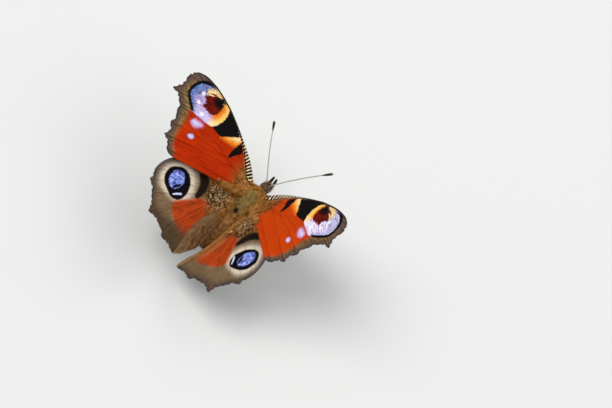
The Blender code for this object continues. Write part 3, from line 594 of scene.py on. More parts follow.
def makeForewingUpper():
    c = forewingColours
    material = newMaterial("forewingUpper", 0.65, sheen=0.01, specular=0.02)
    flatX, flatY, vein, edge, blueness = map(field, ("flatX", "flatY", "vein", "edge", "blueness"))
    creamPatch, eyeCore, largeSpot = map(field, ("creamPatch", "eyeCore", "largeSpot"))
    costaGap, costaAlong = map(field, ("costaGap", "costaAlong"))
    ragged, streak, fine = wingGrain(3.6)
    broad = grain((0.12, 0.3), 2.0, 0.5)
    colour = blend(between(streak + broad * 0.6, 0.55, 1.05), c["brickDeep"], c["brick"])
    colour = blend(between(blueness, 0.5, 1.0, 0.55, 0.0), colour, c["orangeRed"])
    # streaks of the eyespot lie square to the wing's outer edge
    eyePlace = addNode("ShaderNodeCombineXYZ", {0: flatX * 0.38, 1: (flatY + flatX * 0.09) * 3.3})
    eyeStreak = noise(eyePlace, 3.0, 0.62)
    # golden scales over the wing's root and along its hind edge
    gold = between(field("reach") - ragged * 6.0, 7.3, 1.6)
    colour = blend(gold, colour, c["base"])
    veinLine = between(vein, 0.02, 0.17, 0.4, 0.0)
    colour = blend(veinLine, colour, c["vein"])
    # amber glow round the cream patch
    glow = between(creamPatch + streak * 0.8, -0.5, 0.8)
    colour = blend(glow, colour, c["amber"])
    # grey-brown margin with dark striations
    inner = field("inside") + (streak - 0.5) * 2.2
    inside = between(inner + ragged * 0.9, 0.0, 1.25)
    stria = grain((0.6, 8.0), 3.0, 0.65)
    band = blend(between(stria, 0.41, 0.55), c["bandDark"], c["band"])
    golden = between(edge, 0.6, 1.9) * between(stria, 0.38, 0.7) * between(blueness, 0.45, 1.0, 0.5, 1.2)
    band = blend(golden, band, c["bandGold"])
    apex = between(flatX * 0.35 + flatY, 22.8, 25.5)
    rimward = between(edge - stria * 1.2, 1.0, -0.2)
    band = blend(calc("MAXIMUM", apex, rimward) * 0.75, band, c["bandPurple"])
    band = blend(between(vein, 0.05, 0.22, 0.5, 0.0), band, c["bandDark"])
    band = blend(between(edge, 0.1, 0.5, 0.8, 0.0), band, c["bandDark"])
    colour = blend(1.0 - inside, colour, band)
    colour = blend(marking("costalPatch", ragged), colour, c["black"])
    # cream patch, paler to the costa and to the black patch
    nearBlack = between(field("costalPatch"), -1.3, -0.1)
    nearCosta = between(costaGap, 1.2, 3.6, 1.0, 0.0)
    pale = calc("MAXIMUM", nearBlack * between(costaGap, 3.0, 5.2, 1.0, 0.0), nearCosta)
    patch = blend(pale, c["amber"], c["cream"])
    patch = blend(nearBlack * between(costaGap, 1.5, 3.8, 0.9, 0.1), patch, c["pale"])
    patchEdge = creamPatch + (streak - 0.5) * 1.5
    colour = blend(between(patchEdge, -0.15, 0.75), colour, patch)
    colour = blend(marking("costalPatch", ragged, 0.1, -0.05), colour, c["black"])
    colour = blend(marking("wedge", ragged), colour, c["black"])
    # large eyespot: lilac ground, blue rim, pink streaks, pale dots
    eye = field("eye")
    frost = fine + between(flatY, 13.0, 9.5, 0.0, 0.2) + between(blueness, 0.4, 1.0, 0.1, 0.0)
    ground = blend(between(frost, 0.48, 0.78), c["lilac"], c["white"])
    whiter = blend(between(fine * 0.5 + eyeStreak, 0.95, 0.6), c["lilacPale"], c["dot"])
    lowSide = between(flatY + eyeStreak * 2.0, 13.2, 10.4, 0.0, 0.12)
    whiterShare = calc("MAXIMUM", lowSide, between(blueness, 0.5, 1.0, 0.85, 0.0))
    ground = blend(whiterShare, ground, whiter)
    bluer = between(flatX * 0.55 + flatY + eyeStreak * 3.6, 26.6, 28.4) * blueness
    eyeEdge = eye + field("eyeShift") + (eyeStreak - 0.5) * 1.0
    rim = between(eyeEdge - eyeStreak * 1.9, 0.2, 1.1, 1.0, 0.0) * blueness
    outward = rim * between(flatX, 21.5, 23.5)
    blueShade = blend(between(ragged, 0.43, 0.55), c["blueDeep"], c["blue"])
    blueShade = blend(between(fine, 0.55, 0.72, 0.0, 0.75), blueShade, c["frost"])
    ground = blend(calc("MAXIMUM", bluer * 0.9, outward), ground, blueShade)
    pinkStreak = between(eyeStreak, 0.52, 0.61) * between(eyeCore, -4.2, -0.3) * between(flatY, 9.2, 10.8)
    ground = blend(pinkStreak * between(flatX, 19.0, 20.2), ground, c["pink"])
    redLines = between(eyeStreak, 0.55, 0.6) * between(eyeCore, -3.6, -1.0)
    ground = blend(redLines * between(flatX, 19.0, 20.2, 0.0, 0.85), ground, c["streakRed"])
    ground = blend(marking("dots", ragged, 0.35), ground, c["dot"])
    # cream ring on the side of the root and of the costa
    rootward = between(flatX, 16.6, 18.4, 1.0, 0.0)
    costal = marking("creamTop", fine, 0.3, 0.05, 0.9)
    ringShare = calc("MAXIMUM", rootward, costal)
    amber = eyeCore + fine * 0.5 + between(blueness, 0.45, 1.0, -0.35, 0.3)
    amber = between(amber, -1.35, 0.2)
    ring = blend(amber * between(flatY + blueness, 15.8, 14.2, 0.25, 1.0), c["cream"], c["amber"])
    ends = between(flatX, 18.0, 19.5) * 0.8, between(flatY, 10.4, 9.2, 0.0, 0.7), between(flatY, 14.2, 15.6, 0.0, 0.5)
    for share in ends:
        ring = blend(share, ring, c["pale"])
    flecks = between(ragged, 0.5, 0.42) * between(flatY, 13.8, 14.8, 0.0, 0.8)
    ring = blend(flecks, ring, c["base"])
    ground = blend(ringShare, ground, ring)
    core = blend(between(eyeStreak, 0.44, 0.66), c["maroon"], c["coreRed"])
    coreEdge = eyeCore + ragged * 0.5 + (eyeStreak - 0.5) * 2.4
    ground = blend(between(coreEdge, 0.05, 0.4), ground, core)
    blotEdge = field("eyeBlot") + (eyeStreak - 0.5) * 3.2
    ground = blend(between(blotEdge, -0.5, 0.5), ground, c["black"])
    colour = blend(between(eyeEdge + (ragged - 0.5) * 0.4, -0.12, 0.12), colour, ground)
    # the black arc, which fades out along the hind side and toward the root
    arcShare = between(flatX, 18.0, 21.0) * between(abs(eyeEdge - 0.26), 0.32, 0.44, 1.0, 0.0)
    arcEnd = between(flatY + flatX * 0.4, 18.2, 18.9)
    colour = blend(arcShare * arcEnd, colour, c["black"])
    # the two free spots
    spot = blend(between(largeSpot, 0.45, 1.1), c["lilacPale"], c["white"])
    spot = blend(between(largeSpot, 0.05, 0.5), c["blush"], spot)
    spotEdge = largeSpot + (fine - 0.5) * 1.9 + between(flatX, 20.6, 22.4, 0.0, -0.35)
    colour = blend(between(spotEdge, -0.3, 0.5), colour, spot)
    spot = blend(between(field("smallSpot"), 0.05, 0.4), c["lilac"], c["white"])
    colour = blend(marking("smallSpot", ragged, 0.18, 0.0, 0.3), colour, spot)
    # costa: cream and black bars near the root, then a black edge
    forked = grain((1.1, 2.6), 2.0, 0.6) * 0.8
    bars = calc("SINE", (costaAlong + forked) * field("barPace"))
    barColour = blend(between(bars + fine * 0.8, 0.65, 1.0), c["black"], c["bar"])
    zone = marking("stripeZone", ragged, 0.1)
    innerLine = between(abs(field("stripeZone") - 0.22), 0.1, 0.2, 1.0, 0.0)
    barColour = blend(innerLine, barColour, c["black"])
    colour = blend(zone, colour, barColour)
    edgeLine = between(costaGap, 0.3, 0.5, 1.0, 0.0) * between(costaAlong, 12.8, 13.6)
    colour = blend(edgeLine, colour, c["bandDark"])
    finishUpper(colour, fine)
    return material


hindwingColours = {
    "brown": (0.205, 0.134, 0.07), "brownDark": (0.07, 0.042, 0.022), "purple": (0.055, 0.038, 0.036),
    "cream": (0.60, 0.50, 0.385), "greyCream": (0.34, 0.275, 0.195), "black": (0.004, 0.003, 0.005),
    "blue": (0.19, 0.255, 0.68), "blueDark": (0.04, 0.05, 0.21), "white": (0.66, 0.67, 0.93),
    "red": (0.42, 0.048, 0.007), "redDeep": (0.24, 0.032, 0.007), "gold": (0.38, 0.165, 0.026),
    "crescent": (0.012, 0.007, 0.005), "fold": (0.40, 0.26, 0.14), "foldDarkAndCreaseShade": (0.12, 0.07, 0.035),
    "warm": (0.15, 0.085, 0.045), "pepper": (0.03, 0.017, 0.01), "foldRed": (0.33, 0.10, 0.03),
}


def makeHindwingUpper():
    c = hindwingColours
    material = newMaterial("hindwingUpper", 0.68, sheen=0.01, specular=0.02)
    sideShade, flatY, reach = map(field, ("sideShade", "flatY", "reach"))
    ragged, streak, fine = wingGrain(3.4)
    colour = blend(between(streak, 0.3, 0.7), c["brownDark"], c["brown"])
    colour = blend(0.45, colour, c["brown"])
    # the right wing is the redder one
    warm = between(sideShade, 1.0, 0.3, 0.0, 0.25)
    colour = blend(warm, colour, c["warm"])
    # pale ring round the eyespot, fading outward
    oval = field("oval") + field("ovalShift")
    ringNear = oval + (streak - 0.5) * 1.4
    grey = between(ringNear, -3.0, -1.2)
    pale = between(ringNear, -1.8, -0.6) * between(ringNear, 0.35, -0.35, 0.35, 1.0)
    rear = between(flatY, -12.2, -9.8)
    colour = blend(grey * rear, colour, c["greyCream"])
    colour = blend(pale * rear, colour, c["cream"])
    colour = blend(between(reach - ragged * 3.5, 11.5, 7.0), colour, c["gold"])
    colour = blend(marking("paleHair", ragged, 0.7, 0.0, 0.8) * 0.9, colour, c["pepper"])
    veinShare = between(field("vein"), 0.02, 0.18, 0.38, 0.0) * between(reach, 8.0, 14.0, 0.3, 1.0)
    colour = blend(veinShare, colour, c["brownDark"])
    # red patch, fading into gold at the root
    red = blend(between(streak, 0.36, 0.62), c["redDeep"], c["red"])
    redShare = marking("red", ragged, 0.45, 0.0, 0.5) * between(reach, 8.5, 12.5, 0.55, 1.0)
    colour = blend(redShare, colour, red)
    colour = blend(between(field("crescent"), -0.8, 0.2, 0.0, 0.6), colour, c["brownDark"])
    colour = blend(marking("crescent", ragged, 0.3, 0.22, 0.4), colour, c["crescent"])
    # eyespot: black oval, speckled violet-blue, small pale dash
    colour = blend(between(oval + ragged * 0.5, 0.06, 0.34), colour, c["black"])
    speckle = grain((1.5, 2.1), 3.0, 0.8)
    blue = blend(between(speckle, 0.4, 0.52), c["blueDark"], c["blue"])
    blue = blend(between(speckle, 0.54, 0.7), blue, c["white"])
    blue = blend(marking("notch", ragged, 0.12, 0.08, 0.3), blue, c["black"])
    colour = blend(marking("blue", ragged, 0.1, -0.2, 0.55), colour, blue)
    colour = blend(marking("dash", ragged, 0.08, 0.03, 0.15), colour, c["white"])
    # folded inner margin with its grey hair, and painted shade along its crease
    fold = between(field("fold"), -0.05, 0.35)
    foldGrey = blend(between(streak, 0.35, 0.65), c["foldDarkAndCreaseShade"], c["fold"])
    colour = blend(fold * between(reach, 6.0, 9.5), colour, foldGrey)
    beside = between(abs(field("fold") + 0.3) + streak, 1.9, 1.0)
    beside = beside * between(flatY, -5.0, -7.5) * between(flatY, -18.5, -15.5)
    colour = blend(beside * between(sideShade, 1.0, 0.3, 0.0, 0.8), colour, c["foldRed"])
    # painted shade: a dark line in the crease of the fold, full on the left wing and weaker on the right
    crease = between(abs(field("fold")), 0.08, 0.4, 0.85, 0.0)
    colour = blend(crease * sideShade, colour, c["foldDarkAndCreaseShade"])
    # darker, purplish rim
    rim = between(field("edge") - streak * 1.6, 1.5, -0.6)
    colour = blend(rim * 0.85, colour, c["purple"])
    # painted shade: the rear corner darker where the wing curves down, full on the left hindwing and faint on the
    # right
    paintedRearShade = between(flatY + streak * 2.0, -12.5, -16.5) * (sideShade * 0.97)
    colour = blend(paintedRearShade, colour, c["brownDark"])
    finishUpper(colour, fine)
    return material


undersideColours = {"dark": (0.014, 0.011, 0.010), "line": (0.085, 0.063, 0.046), "pale": (0.19, 0.145, 0.10)}


def makeUnderside():
    # sooty brown with fine wavy cross lines, paler toward the margin
    c = undersideColours
    material = newMaterial("wingUnderside", 0.72, sheen=0.03, specular=0.08)
    wavy = grain((2.6, 1.1), 4.0, 0.7)
    ripple = grain((5.5, 0.8), 2.0, 0.6)
    outward = between(field("reach") + wavy * 4.0, 14.0, 21.0)
    colour = blend(between(ripple, 0.46, 0.6), c["dark"], c["line"])
    lighter = blend(between(ripple, 0.42, 0.6), c["line"], c["pale"])
    colour = blend(outward * 0.75, colour, lighter)
    colour = blend(between(field("vein"), 0.04, 0.2, 0.6, 0.0), colour, c["dark"])
    colour = blend(between(field("edge"), 0.1, 0.9, 0.8, 0.0), colour, c["dark"])
    paint(colour)
    wingBump(0.3)
    return material


# tufts: thin three-sided tapered hairs that lean along the coat

tuftShape = {"rooted": 0.05, "gathered": 0.35, "flat": 0.7, "taper": 0.75}


def gather(roots, share):
    # each tuft's nearest leader, so that neighbours lean and colour together
    leaders = chance.choice(len(roots), max(8, len(roots) // share), replace=False)
    home = np.empty(len(roots), int)
    batch = 2000  # at a time, to spare memory
    for start in range(0, len(roots), batch):
        gaps = roots[start:start + batch, None] - roots[leaders][None]
        home[start:start + batch] = leaders[np.einsum("ijk,ijk->ij", gaps, gaps).argmin(1)]
    return home


def growTufts(name, roots, lie, normals, lengths, widths, stand, spots, fields, materials,
              bent=0.35, swirl=0.25, clump=1):
    count = len(roots)
    home = gather(roots, clump) if clump > 1 else np.arange(count)
    wander = chance.normal(0, swirl, (count, 3))
    lie = unit(lie + wander - normals * np.sum(wander * normals, 1, keepdims=True))
    first = unit(lie * np.cos(stand)[:, None] + normals * np.sin(stand)[:, None])
    second = unit(lie * np.cos(stand * bent)[:, None] + normals * np.sin(stand * bent)[:, None])
    base = roots - normals * tuftShape["rooted"]
    middle = base + first * (lengths * 0.5)[:, None]
    tip = middle + second * (lengths * 0.5)[:, None]
    tip = tip + (tip[home] - tip) * tuftShape["gathered"]
    across = unit(np.cross(first, normals))
    other = np.cross(across, first)
    points = np.empty((count, 7, 3))
    for i, turn in enumerate(np.radians([90, 210, 330])):
        ring = across * math.cos(turn) + other * math.sin(turn) * tuftShape["flat"]
        points[:, i] = base + ring * widths[:, None]
        points[:, 3 + i] = middle + ring * widths[:, None] * tuftShape["taper"]
    points[:, 6] = tip
    pattern = [(i, (i + 1) % 3, 3 + (i + 1) % 3) for i in range(3)] + [(i, 3 + (i + 1) % 3, 3 + i) for i in range(3)]
    pattern = np.array(pattern + [(3 + i, 3 + (i + 1) % 3, 6) for i in range(3)])
    faces = (np.arange(count)[:, None, None] * 7 + pattern).reshape(-1, 3)
    placed = np.clip(bodyToFloor(points.reshape(-1, 3)), np.array(cadLow) / mm + 0.02, np.array(cadHigh) / mm - 0.02)
    mesh = makeMesh(name, placed, faces)
    allFields = {key: np.repeat(value, 7) for key, value in fields.items()}
    allFields["tip"] = np.tile([0, 0, 0, 0.5, 0.5, 0.5, 1], count)
    own = chance.random(count)
    allFields["tone"] = np.repeat(own * 0.3 + own[home] * 0.7, 7)
    setFields(mesh, allFields)
    patch = np.array([(-1, -1), (1, -1), (0, -0.6), (-0.6, 0.2), (0.6, 0.2), (0, 0.4), (0, 1)]) * 0.0014
    setBakeMap(mesh, (spots[:, None, :] + patch).reshape(-1, 2))
    addPiece(name, mesh, materials)


# body skin: rings of points from the head's front to the abdomen's tip

bodyShape = {
    # y, z, half width and half height of each station, in millimetres
    "stations": [
        (6.22, 0.35, 0.04, 0.04), (6.12, 0.35, 0.34, 0.5), (5.85, 0.34, 0.66, 0.86), (5.3, 0.3, 0.98, 1.1),
        (4.75, 0.25, 1.0, 1.08), (4.3, 0.2, 1.0, 1.03), (3.9, 0.12, 1.28, 1.3), (3.3, 0.06, 1.65, 1.7),
        (2.3, 0.0, 2.1, 2.15), (1.1, 0.0, 2.35, 2.4), (-0.3, 0.0, 2.45, 2.45), (-1.8, 0.0, 2.35, 2.35),
        (-3.0, -0.05, 2.05, 2.05), (-3.9, -0.2, 1.7, 1.65), (-4.6, -0.45, 1.45, 1.4), (-5.4, -0.78, 1.48, 1.42),
        (-6.6, -1.15, 1.6, 1.52), (-8.0, -1.6, 1.66, 1.58), (-9.6, -2.2, 1.6, 1.52), (-11.2, -2.85, 1.38, 1.3),
        (-12.6, -3.5, 1.08, 1.0), (-13.8, -4.1, 0.72, 0.68), (-14.6, -4.5, 0.38, 0.36), (-14.9, -4.65, 0.04, 0.04)],
    "around": 72, "rings": 8, "ringDepth": 0.05, "ringsFrom": 4.8, "ringsLong": 10.1,  # the abdomen's rings
}


def bodySkinPoints():
    line = smoothThrough(bodyShape["stations"], 0.16)
    y, z = line[:, 0], line[:, 1]
    ahead = unit(np.gradient(np.stack([y, z], 1), axis=0))
    wide = np.maximum(line[:, 2], 0.02)
    high = np.maximum(line[:, 3], 0.02)
    abdomen = smoothStep(-y, 4.8, 6.0)
    segment = math.pi * (y + bodyShape["ringsFrom"]) / bodyShape["ringsLong"] * bodyShape["rings"]
    squeeze = 1 - bodyShape["ringDepth"] * abdomen * (1 - np.abs(np.sin(segment)) ** 0.5)
    turn = np.linspace(0, 2 * math.pi, bodyShape["around"], endpoint=False)
    x = np.sin(turn)[None, :] * (wide * squeeze)[:, None]
    up = np.cos(turn)[None, :] * (high * squeeze)[:, None]
    # each ring stands square to the body's line
    return np.stack([x, y[:, None] + ahead[:, 1:] * up, z[:, None] - ahead[:, :1] * up], 2)


def bodyFields(points):
    # the coat's colours as places on the body
    x, y, z = points[:, 0], points[:, 1], points[:, 2]
    # olive patch over the thorax's back: olive hair, lighter on top as a painted sheen
    oliveSheen = 1 - np.sqrt((x / 1.9) ** 2 + ((y + 1.15) / 3.8) ** 2)
    oliveSheen = np.where(z > 0.3, oliveSheen, -1.0)
    spot = 0.55 - np.sqrt(x**2 + ((y + 4.15) / 1.0) ** 2)
    spot = np.where(z > 0.2, spot, -1.0)
    return {"oliveSheen": oliveSheen, "rearSpot": spot, "headShare": smoothStep(y, 3.9, 4.5),
            "abdomenShare": smoothStep(-y, 4.4, 5.4),
            "below": smoothStep(-z - np.maximum(0, -y - 4) * 0.38, -0.6, 1.2), **grainFields(points)}


bodyColours = {
    "brown": (0.16, 0.062, 0.012), "orange": (0.66, 0.285, 0.038), "oliveSheen": (0.54, 0.36, 0.115),
    "oliveDark": (0.22, 0.145, 0.042), "black": (0.012, 0.009, 0.007), "head": (0.085, 0.05, 0.034),
    "headPale": (0.46, 0.30, 0.17), "abdomen": (0.66, 0.30, 0.085), "abdomenDark": (0.22, 0.095, 0.03),
    "belly": (0.05, 0.035, 0.026),
}


def makeBodyMaterial(name, hairy):
    c = bodyColours
    material = newMaterial(name, 0.72, sheen=0.04 if hairy else 0.02, specular=0.1)
    mottle = grain((1.6, 2.4, 2.4), 3.0, 0.65)
    tone = field("tone") if hairy else grain((5.0, 9.0, 9.0), 2.0, 0.6)
    colour = blend(between(mottle + tone * 0.35, 0.45, 0.85), c["brown"], c["orange"])
    oliveSheen = blend(between(tone, 0.2, 0.75), c["oliveDark"], c["oliveSheen"])
    uneven = (mottle - 0.5) * 0.9 + (tone - 0.5) * 0.5
    # olive hair on the thorax's back, with a painted sheen making it lighter on top
    colour = blend(between(field("oliveSheen") + uneven, -0.2, 0.4), colour, oliveSheen)
    colour = blend(between(field("rearSpot"), -0.15, 0.15), colour, c["black"])
    abdomen = blend(between(tone, 0.2, 0.8), c["abdomenDark"], c["abdomen"])
    colour = blend(field("abdomenShare"), colour, abdomen)
    head = blend(between(tone, 0.35, 0.9), c["head"], c["headPale"])
    colour = blend(field("headShare"), colour, head)
    colour = blend(field("below") * 0.8, colour, c["belly"])
    if hairy:
        colour = tint(colour, between(field("tip"), 0.0, 1.0, 0.55, 1.35))
    else:
        colour = blend(0.45, colour, c["abdomenDark"])
        bump(grain((3.0, 11.0, 11.0), 3.0, 0.6), 0.5, 0.12)
    paint(colour)
    return material


def makeBodySkin():
    points = bodySkinPoints()
    rows, columns = points.shape[:2]
    verts = points.reshape(-1, 3)
    i, j = np.meshgrid(np.arange(rows - 1), np.arange(columns), indexing="ij")
    a, b = i * columns + j, i * columns + (j + 1) % columns
    quads = np.stack([a, b, b + columns, a + columns], -1).reshape(-1, 4)
    faces = np.concatenate([quads[:, [0, 1, 2]], quads[:, [0, 2, 3]]])
    front, back = len(verts), len(verts) + 1
    verts = np.concatenate([verts, [points[0].mean(0)], [points[-1].mean(0)]])
    k = np.arange(columns)
    caps = [np.stack([np.full(columns, front), (k + 1) % columns, k], 1),
            np.stack([np.full(columns, back), (rows - 1) * columns + k, (rows - 1) * columns + (k + 1) % columns], 1)]
    faces = np.concatenate([faces] + caps)
    mesh = makeMesh("bodySkin", bodyToFloor(verts), faces)
    fields = bodyFields(verts)
    fields["tone"] = np.full(len(verts), 0.4)
    setFields(mesh, fields)
    addPiece("bodySkin", mesh, [makeBodyMaterial("bodySkinFinish", False)],
             ["thorax", "abdomen", "head"])


def bodyRoots(count, low, high):
    # roots spread evenly over the skin between two places along the body
    points = bodySkinPoints()
    rows, columns = points.shape[:2]
    following = np.roll(points, -1, 1)
    a = points[:-1].reshape(-1, 3)
    alongRow = (points[1:] - points[:-1]).reshape(-1, 3)
    alongRing = (following[:-1] - points[:-1]).reshape(-1, 3)
    normal = np.cross(alongRing, alongRow)
    area = np.linalg.norm(normal, axis=1)
    middle = a[:, 1]
    area = np.where((middle > low) & (middle < high), area, 0)
    chosen = chance.choice(len(a), count, p=area / area.sum())
    s, t = chance.random((2, count, 1))
    roots = a[chosen] + alongRow[chosen] * s + alongRing[chosen] * t
    normals = unit(normal[chosen])
    centre = np.interp(-roots[:, 1], -points[:, 0, 1], points.mean(1)[:, 2])
    outward = np.stack([roots[:, 0], np.zeros(count), roots[:, 2] - centre], 1)
    normals *= np.sign(np.sum(normals * outward, 1, keepdims=True))
    lie = unit(alongRow[chosen])
    row, column = chosen // columns, chosen % columns
    spots = np.stack([(column + t[:, 0]) / columns, (row + s[:, 0]) / (rows - 1)], 1)
    return roots, normals, lie, spots


coats = {
    "thoraxCoat": {"count": 19000, "from": -5.3, "to": 4.4, "length": (0.9, 1.5), "width": 0.034,
                   "stand": (16, 40), "clump": 24},
    "headCoat": {"count": 8000, "from": 4.0, "to": 6.3, "length": (0.45, 0.95), "width": 0.024,
                 "stand": (24, 50), "clump": 14},
    "abdomenCoat": {"count": 15000, "from": -15.0, "to": -4.6, "length": (0.5, 0.95), "width": 0.028,
                    "stand": (8, 24), "clump": 20},
}


def makeBodyCoats(hair):
    for name, coat in coats.items():
        roots, normals, lie, spots = bodyRoots(coat["count"], coat["from"], coat["to"])
        count = len(roots)
        low, high = coat["length"]
        lengths = chance.uniform(low, high, count)
        stand = np.radians(chance.uniform(*coat["stand"], count))
        widths = coat["width"] * chance.uniform(0.7, 1.3, count)
        # longer and combed outward along the sides, short over the back
        flank = smoothStep(np.abs(normals[:, 0]), 0.55, 0.95)
        y = roots[:, 1]
        if name == "headCoat":
            brow = smoothStep(y, 5.4, 5.95) * (1 - 0.8 * flank)
            lengths = lengths * (1 + 0.7 * brow + 0.5 * flank * smoothStep(y, 4.9, 4.3)
                                 - 0.4 * flank * smoothStep(y, 4.8, 5.3))
            lengths = lengths * (1 - 0.25 * np.sign(roots[:, 0]) * flank * smoothStep(y, 4.4, 4.8))
            stand = stand * (1 - brow) + np.radians(chance.uniform(55, 85, count)) * brow
        else:
            shoulder = (smoothStep(y, 1.5, 3.2)
                        + 1.1 * smoothStep(y, -4.6, -3.4) * smoothStep(y, 1.5, 0.3) * (normals[:, 2] > -0.2))
            lengths = lengths * (0.75 + 0.65 * flank + 0.6 * flank * shoulder)
            lie = unit(lie + np.stack([np.sign(roots[:, 0]) * flank * 0.9, flank * 0, flank * 0], 1))
        growTufts(name, roots, lie, normals, lengths, widths, stand, spots, bodyFields(roots), [hair],
                  clump=coat["clump"])


# hair over the wings' roots, lying outward

rootHair = {
    "forewing": {"count": 6000, "reach": {"left": 6.7, "right": 8.0}, "length": (0.8, 1.5)},
    "hindwing": {"count": 16000, "reach": {"left": 11.8, "right": 11.0}, "length": (0.8, 1.6)},
    "width": 0.042, "stand": (10, 26), "greyShare": {"left": 0.9, "right": 0.3},
    "rustShare": {"left": 0.25, "right": 0.85}, "paleShare": {"left": 1.0, "right": 0.75},
}
rootHairColours = {
    "dark": (0.03, 0.015, 0.006), "gold": (0.60, 0.245, 0.034), "pale": (0.95, 0.72, 0.42),
    "grey": (0.52, 0.29, 0.125), "greyDark": (0.15, 0.080, 0.032), "greyPale": (0.41, 0.255, 0.13),
    "rust": (0.52, 0.12, 0.02),
}


def makeRootHairMaterial():
    c = rootHairColours
    material = newMaterial("rootHairFinish", 0.7, sheen=0.05, specular=0.12)
    paleShare = field("paleShare")
    tone = field("tone")
    colour = blend(between(tone, 0.05, 0.5), c["dark"], c["gold"])
    pale = between(tone, 0.6, 0.68) * paleShare
    colour = blend(pale, colour, c["pale"])
    black = between(tone, 0.44, 0.52, 1.0, 0.0) * paleShare
    colour = blend(black, colour, c["dark"])
    lock = grain((0.8, 2.2), 2.0, 0.55)
    grey = tone * 0.25 + lock
    grey = blend(between(grey, 0.46, 0.74), c["greyDark"], c["grey"])
    ridge = between(field("foldGap") + tone * 0.8, 2.3, 1.2, 0.0, 0.75)
    grey = blend(ridge, grey, c["greyPale"])
    colour = blend(field("greyShare"), colour, grey)
    colour = blend(field("rustShare"), colour, blend(between(tone, 0.1, 0.6), c["dark"], c["rust"]))
    paint(tint(colour, between(field("tip"), 0.0, 1.0, 0.6, 1.3)))
    return material


def makeRootHair(wing, side, material):
    settings = rootHair[wing]
    shape = wingShapes[wing]
    outline = wingOutline(shape, 0.8)
    low, high = outline.min(0), outline.max(0)
    tries = chance.uniform(low, high, (settings["count"] * 14, 2))
    reach = np.hypot(tries[:, 0] + 1.0, tries[:, 1])
    wanted = 1 - smoothStep(reach, settings["reach"][side] * 0.45, settings["reach"][side])
    if wing == "hindwing":
        gap, _, left = lineDistance(tries, np.array(wingPose["crease"]))
        wanted = np.where(gap < 0.3, wanted * 0.15, np.maximum(wanted, np.where(left < 0, 0.7, 0)))
        pale = outlineField(tries, roundOutline(hindwingMarks["paleHair"]))
        wanted = np.where(outlineField(tries, roundOutline(hindwingMarks["crescent"])) > -0.9, 0, wanted)
    else:
        left = gap = np.ones(len(tries))
        pale = np.full(len(tries), -0.5)
        stripes = outlineField(tries, np.array(forewingMarks["stripeZone"]))
        wanted = np.where(stripes > -0.2, wanted * (1 - smoothStep(reach, 0.8, 2.4)), wanted)
        wanted = np.where(tries[:, 1] < -1.4, np.maximum(wanted, smoothStep(tries[:, 0], 10.0, 7.0)), wanted)
    kept = (chance.random(len(tries)) < wanted) & (outlineField(tries, outline) > 0.15)
    flat = tries[kept][:settings["count"]]
    pale, folded = pale[kept][:settings["count"]], (left[kept] < 0)[:settings["count"]]
    gap = gap[kept][:settings["count"]]
    normals, alongX, alongY = wingNormals(flat, wing, side)
    roots = wingPlaces(flat, wing, side, wingBuild["raised"] + wingBuild["thickness"] / 2)
    heading = unit(flat + (1.5, 0))
    if wing == "hindwing":
        heading = np.where(folded[:, None], unit(heading + (0.35, -0.6)), heading)
        front = smoothStep(outlineField(flat, outline), 1.3, 0.5) * smoothStep(flat[:, 1], -4.0, -2.0)
        front = front * smoothStep(flat[:, 0], 9.5, 7.5)
        heading = unit(heading * (1 - front[:, None]) + front[:, None] * (0.3, 1.0))
    else:
        heading = np.where(flat[:, 1:] < -1.4, unit(heading + (0.1, -1.3)), heading)
    lie = unit(alongX * heading[:, :1] + alongY * heading[:, 1:])
    count = len(flat)
    fields = {"paleShare": smoothStep(pale + chance.normal(0, 0.5, count), -0.8, 0.8),
              "greyShare": folded * smoothStep(-flat[:, 1], 5.0, 8.5) * np.maximum(
                  rootHair["greyShare"][side], smoothStep(-flat[:, 1], 11.0, 17.0) * 0.95)}
    fields["rustShare"] = 0.6 * smoothStep(np.hypot(flat[:, 0] + 1.0, flat[:, 1]) + chance.normal(0, 0.8, count),
                                           3.0, 6.5)
    fields["rustShare"] = fields["rustShare"] * smoothStep(flat[:, 1], -1.6, 0.6)
    fields["foldGap"] = gap
    fields["grainAlong"] = np.hypot(flat[:, 0], flat[:, 1] - 3.0) + np.sin(flat[:, 1] * 2.2) * 0.25
    fields["grainAcross"] = (np.arctan2(flat[:, 1] - 3.0, flat[:, 0]) * 15.0
                             + np.sin(flat[:, 1] * 1.7 + flat[:, 0]) * 0.35)
    fields["grainDepth"] = flat[:, 1] * 0.3
    if wing == "hindwing":
        toRed = outlineField(flat, roundOutline(hindwingMarks["red"]))
        rust = smoothStep(toRed + chance.normal(0, 0.25, count), -1.3, 0.1)
        fields["rustShare"] = rootHair["rustShare"][side] * rust
    spots = (flat - low) / (high - low)
    fields["paleShare"] = fields["paleShare"] * rootHair["paleShare"][side]
    speckled = fields["paleShare"]
    lengths = chance.uniform(*settings["length"], count) * np.where(folded, 0.8, 1.0) * (1 - 0.65 * speckled)
    if wing == "forewing":
        # a longer tuft at the root's hind edge covers the gap to the hindwing
        lengths = lengths * (1 + 0.9 * smoothStep(-flat[:, 1], 0.9, 1.5) * smoothStep(flat[:, 0], 9.0, 5.0))
    else:
        # and hair along the hindwing's front edge reaches under the forewing
        lengths = lengths * (1 + 0.8 * front)
    stand = np.radians(chance.uniform(*rootHair["stand"], count) + 30 * speckled)
    growTufts(wing + "Hair" + side.capitalize(), roots, lie, normals, lengths,
              rootHair["width"] * chance.uniform(0.7, 1.3, count), stand, spots, fields, [material], clump=7)


# fringe of narrow scales along the outer margins

fringe = {
    "inset": 0.48, "length": (0.42, 0.58), "width": 0.035, "dark": (0.028, 0.02, 0.02), "pale": (0.22, 0.16, 0.12),
}


def makeFringeMaterial():
    material = newMaterial("fringeFinish", 0.7, specular=0.08)
    share = field("dipShare") * between(field("tone"), 0.2, 0.8)
    paint(blend(share, fringe["dark"], fringe["pale"]))
    return material


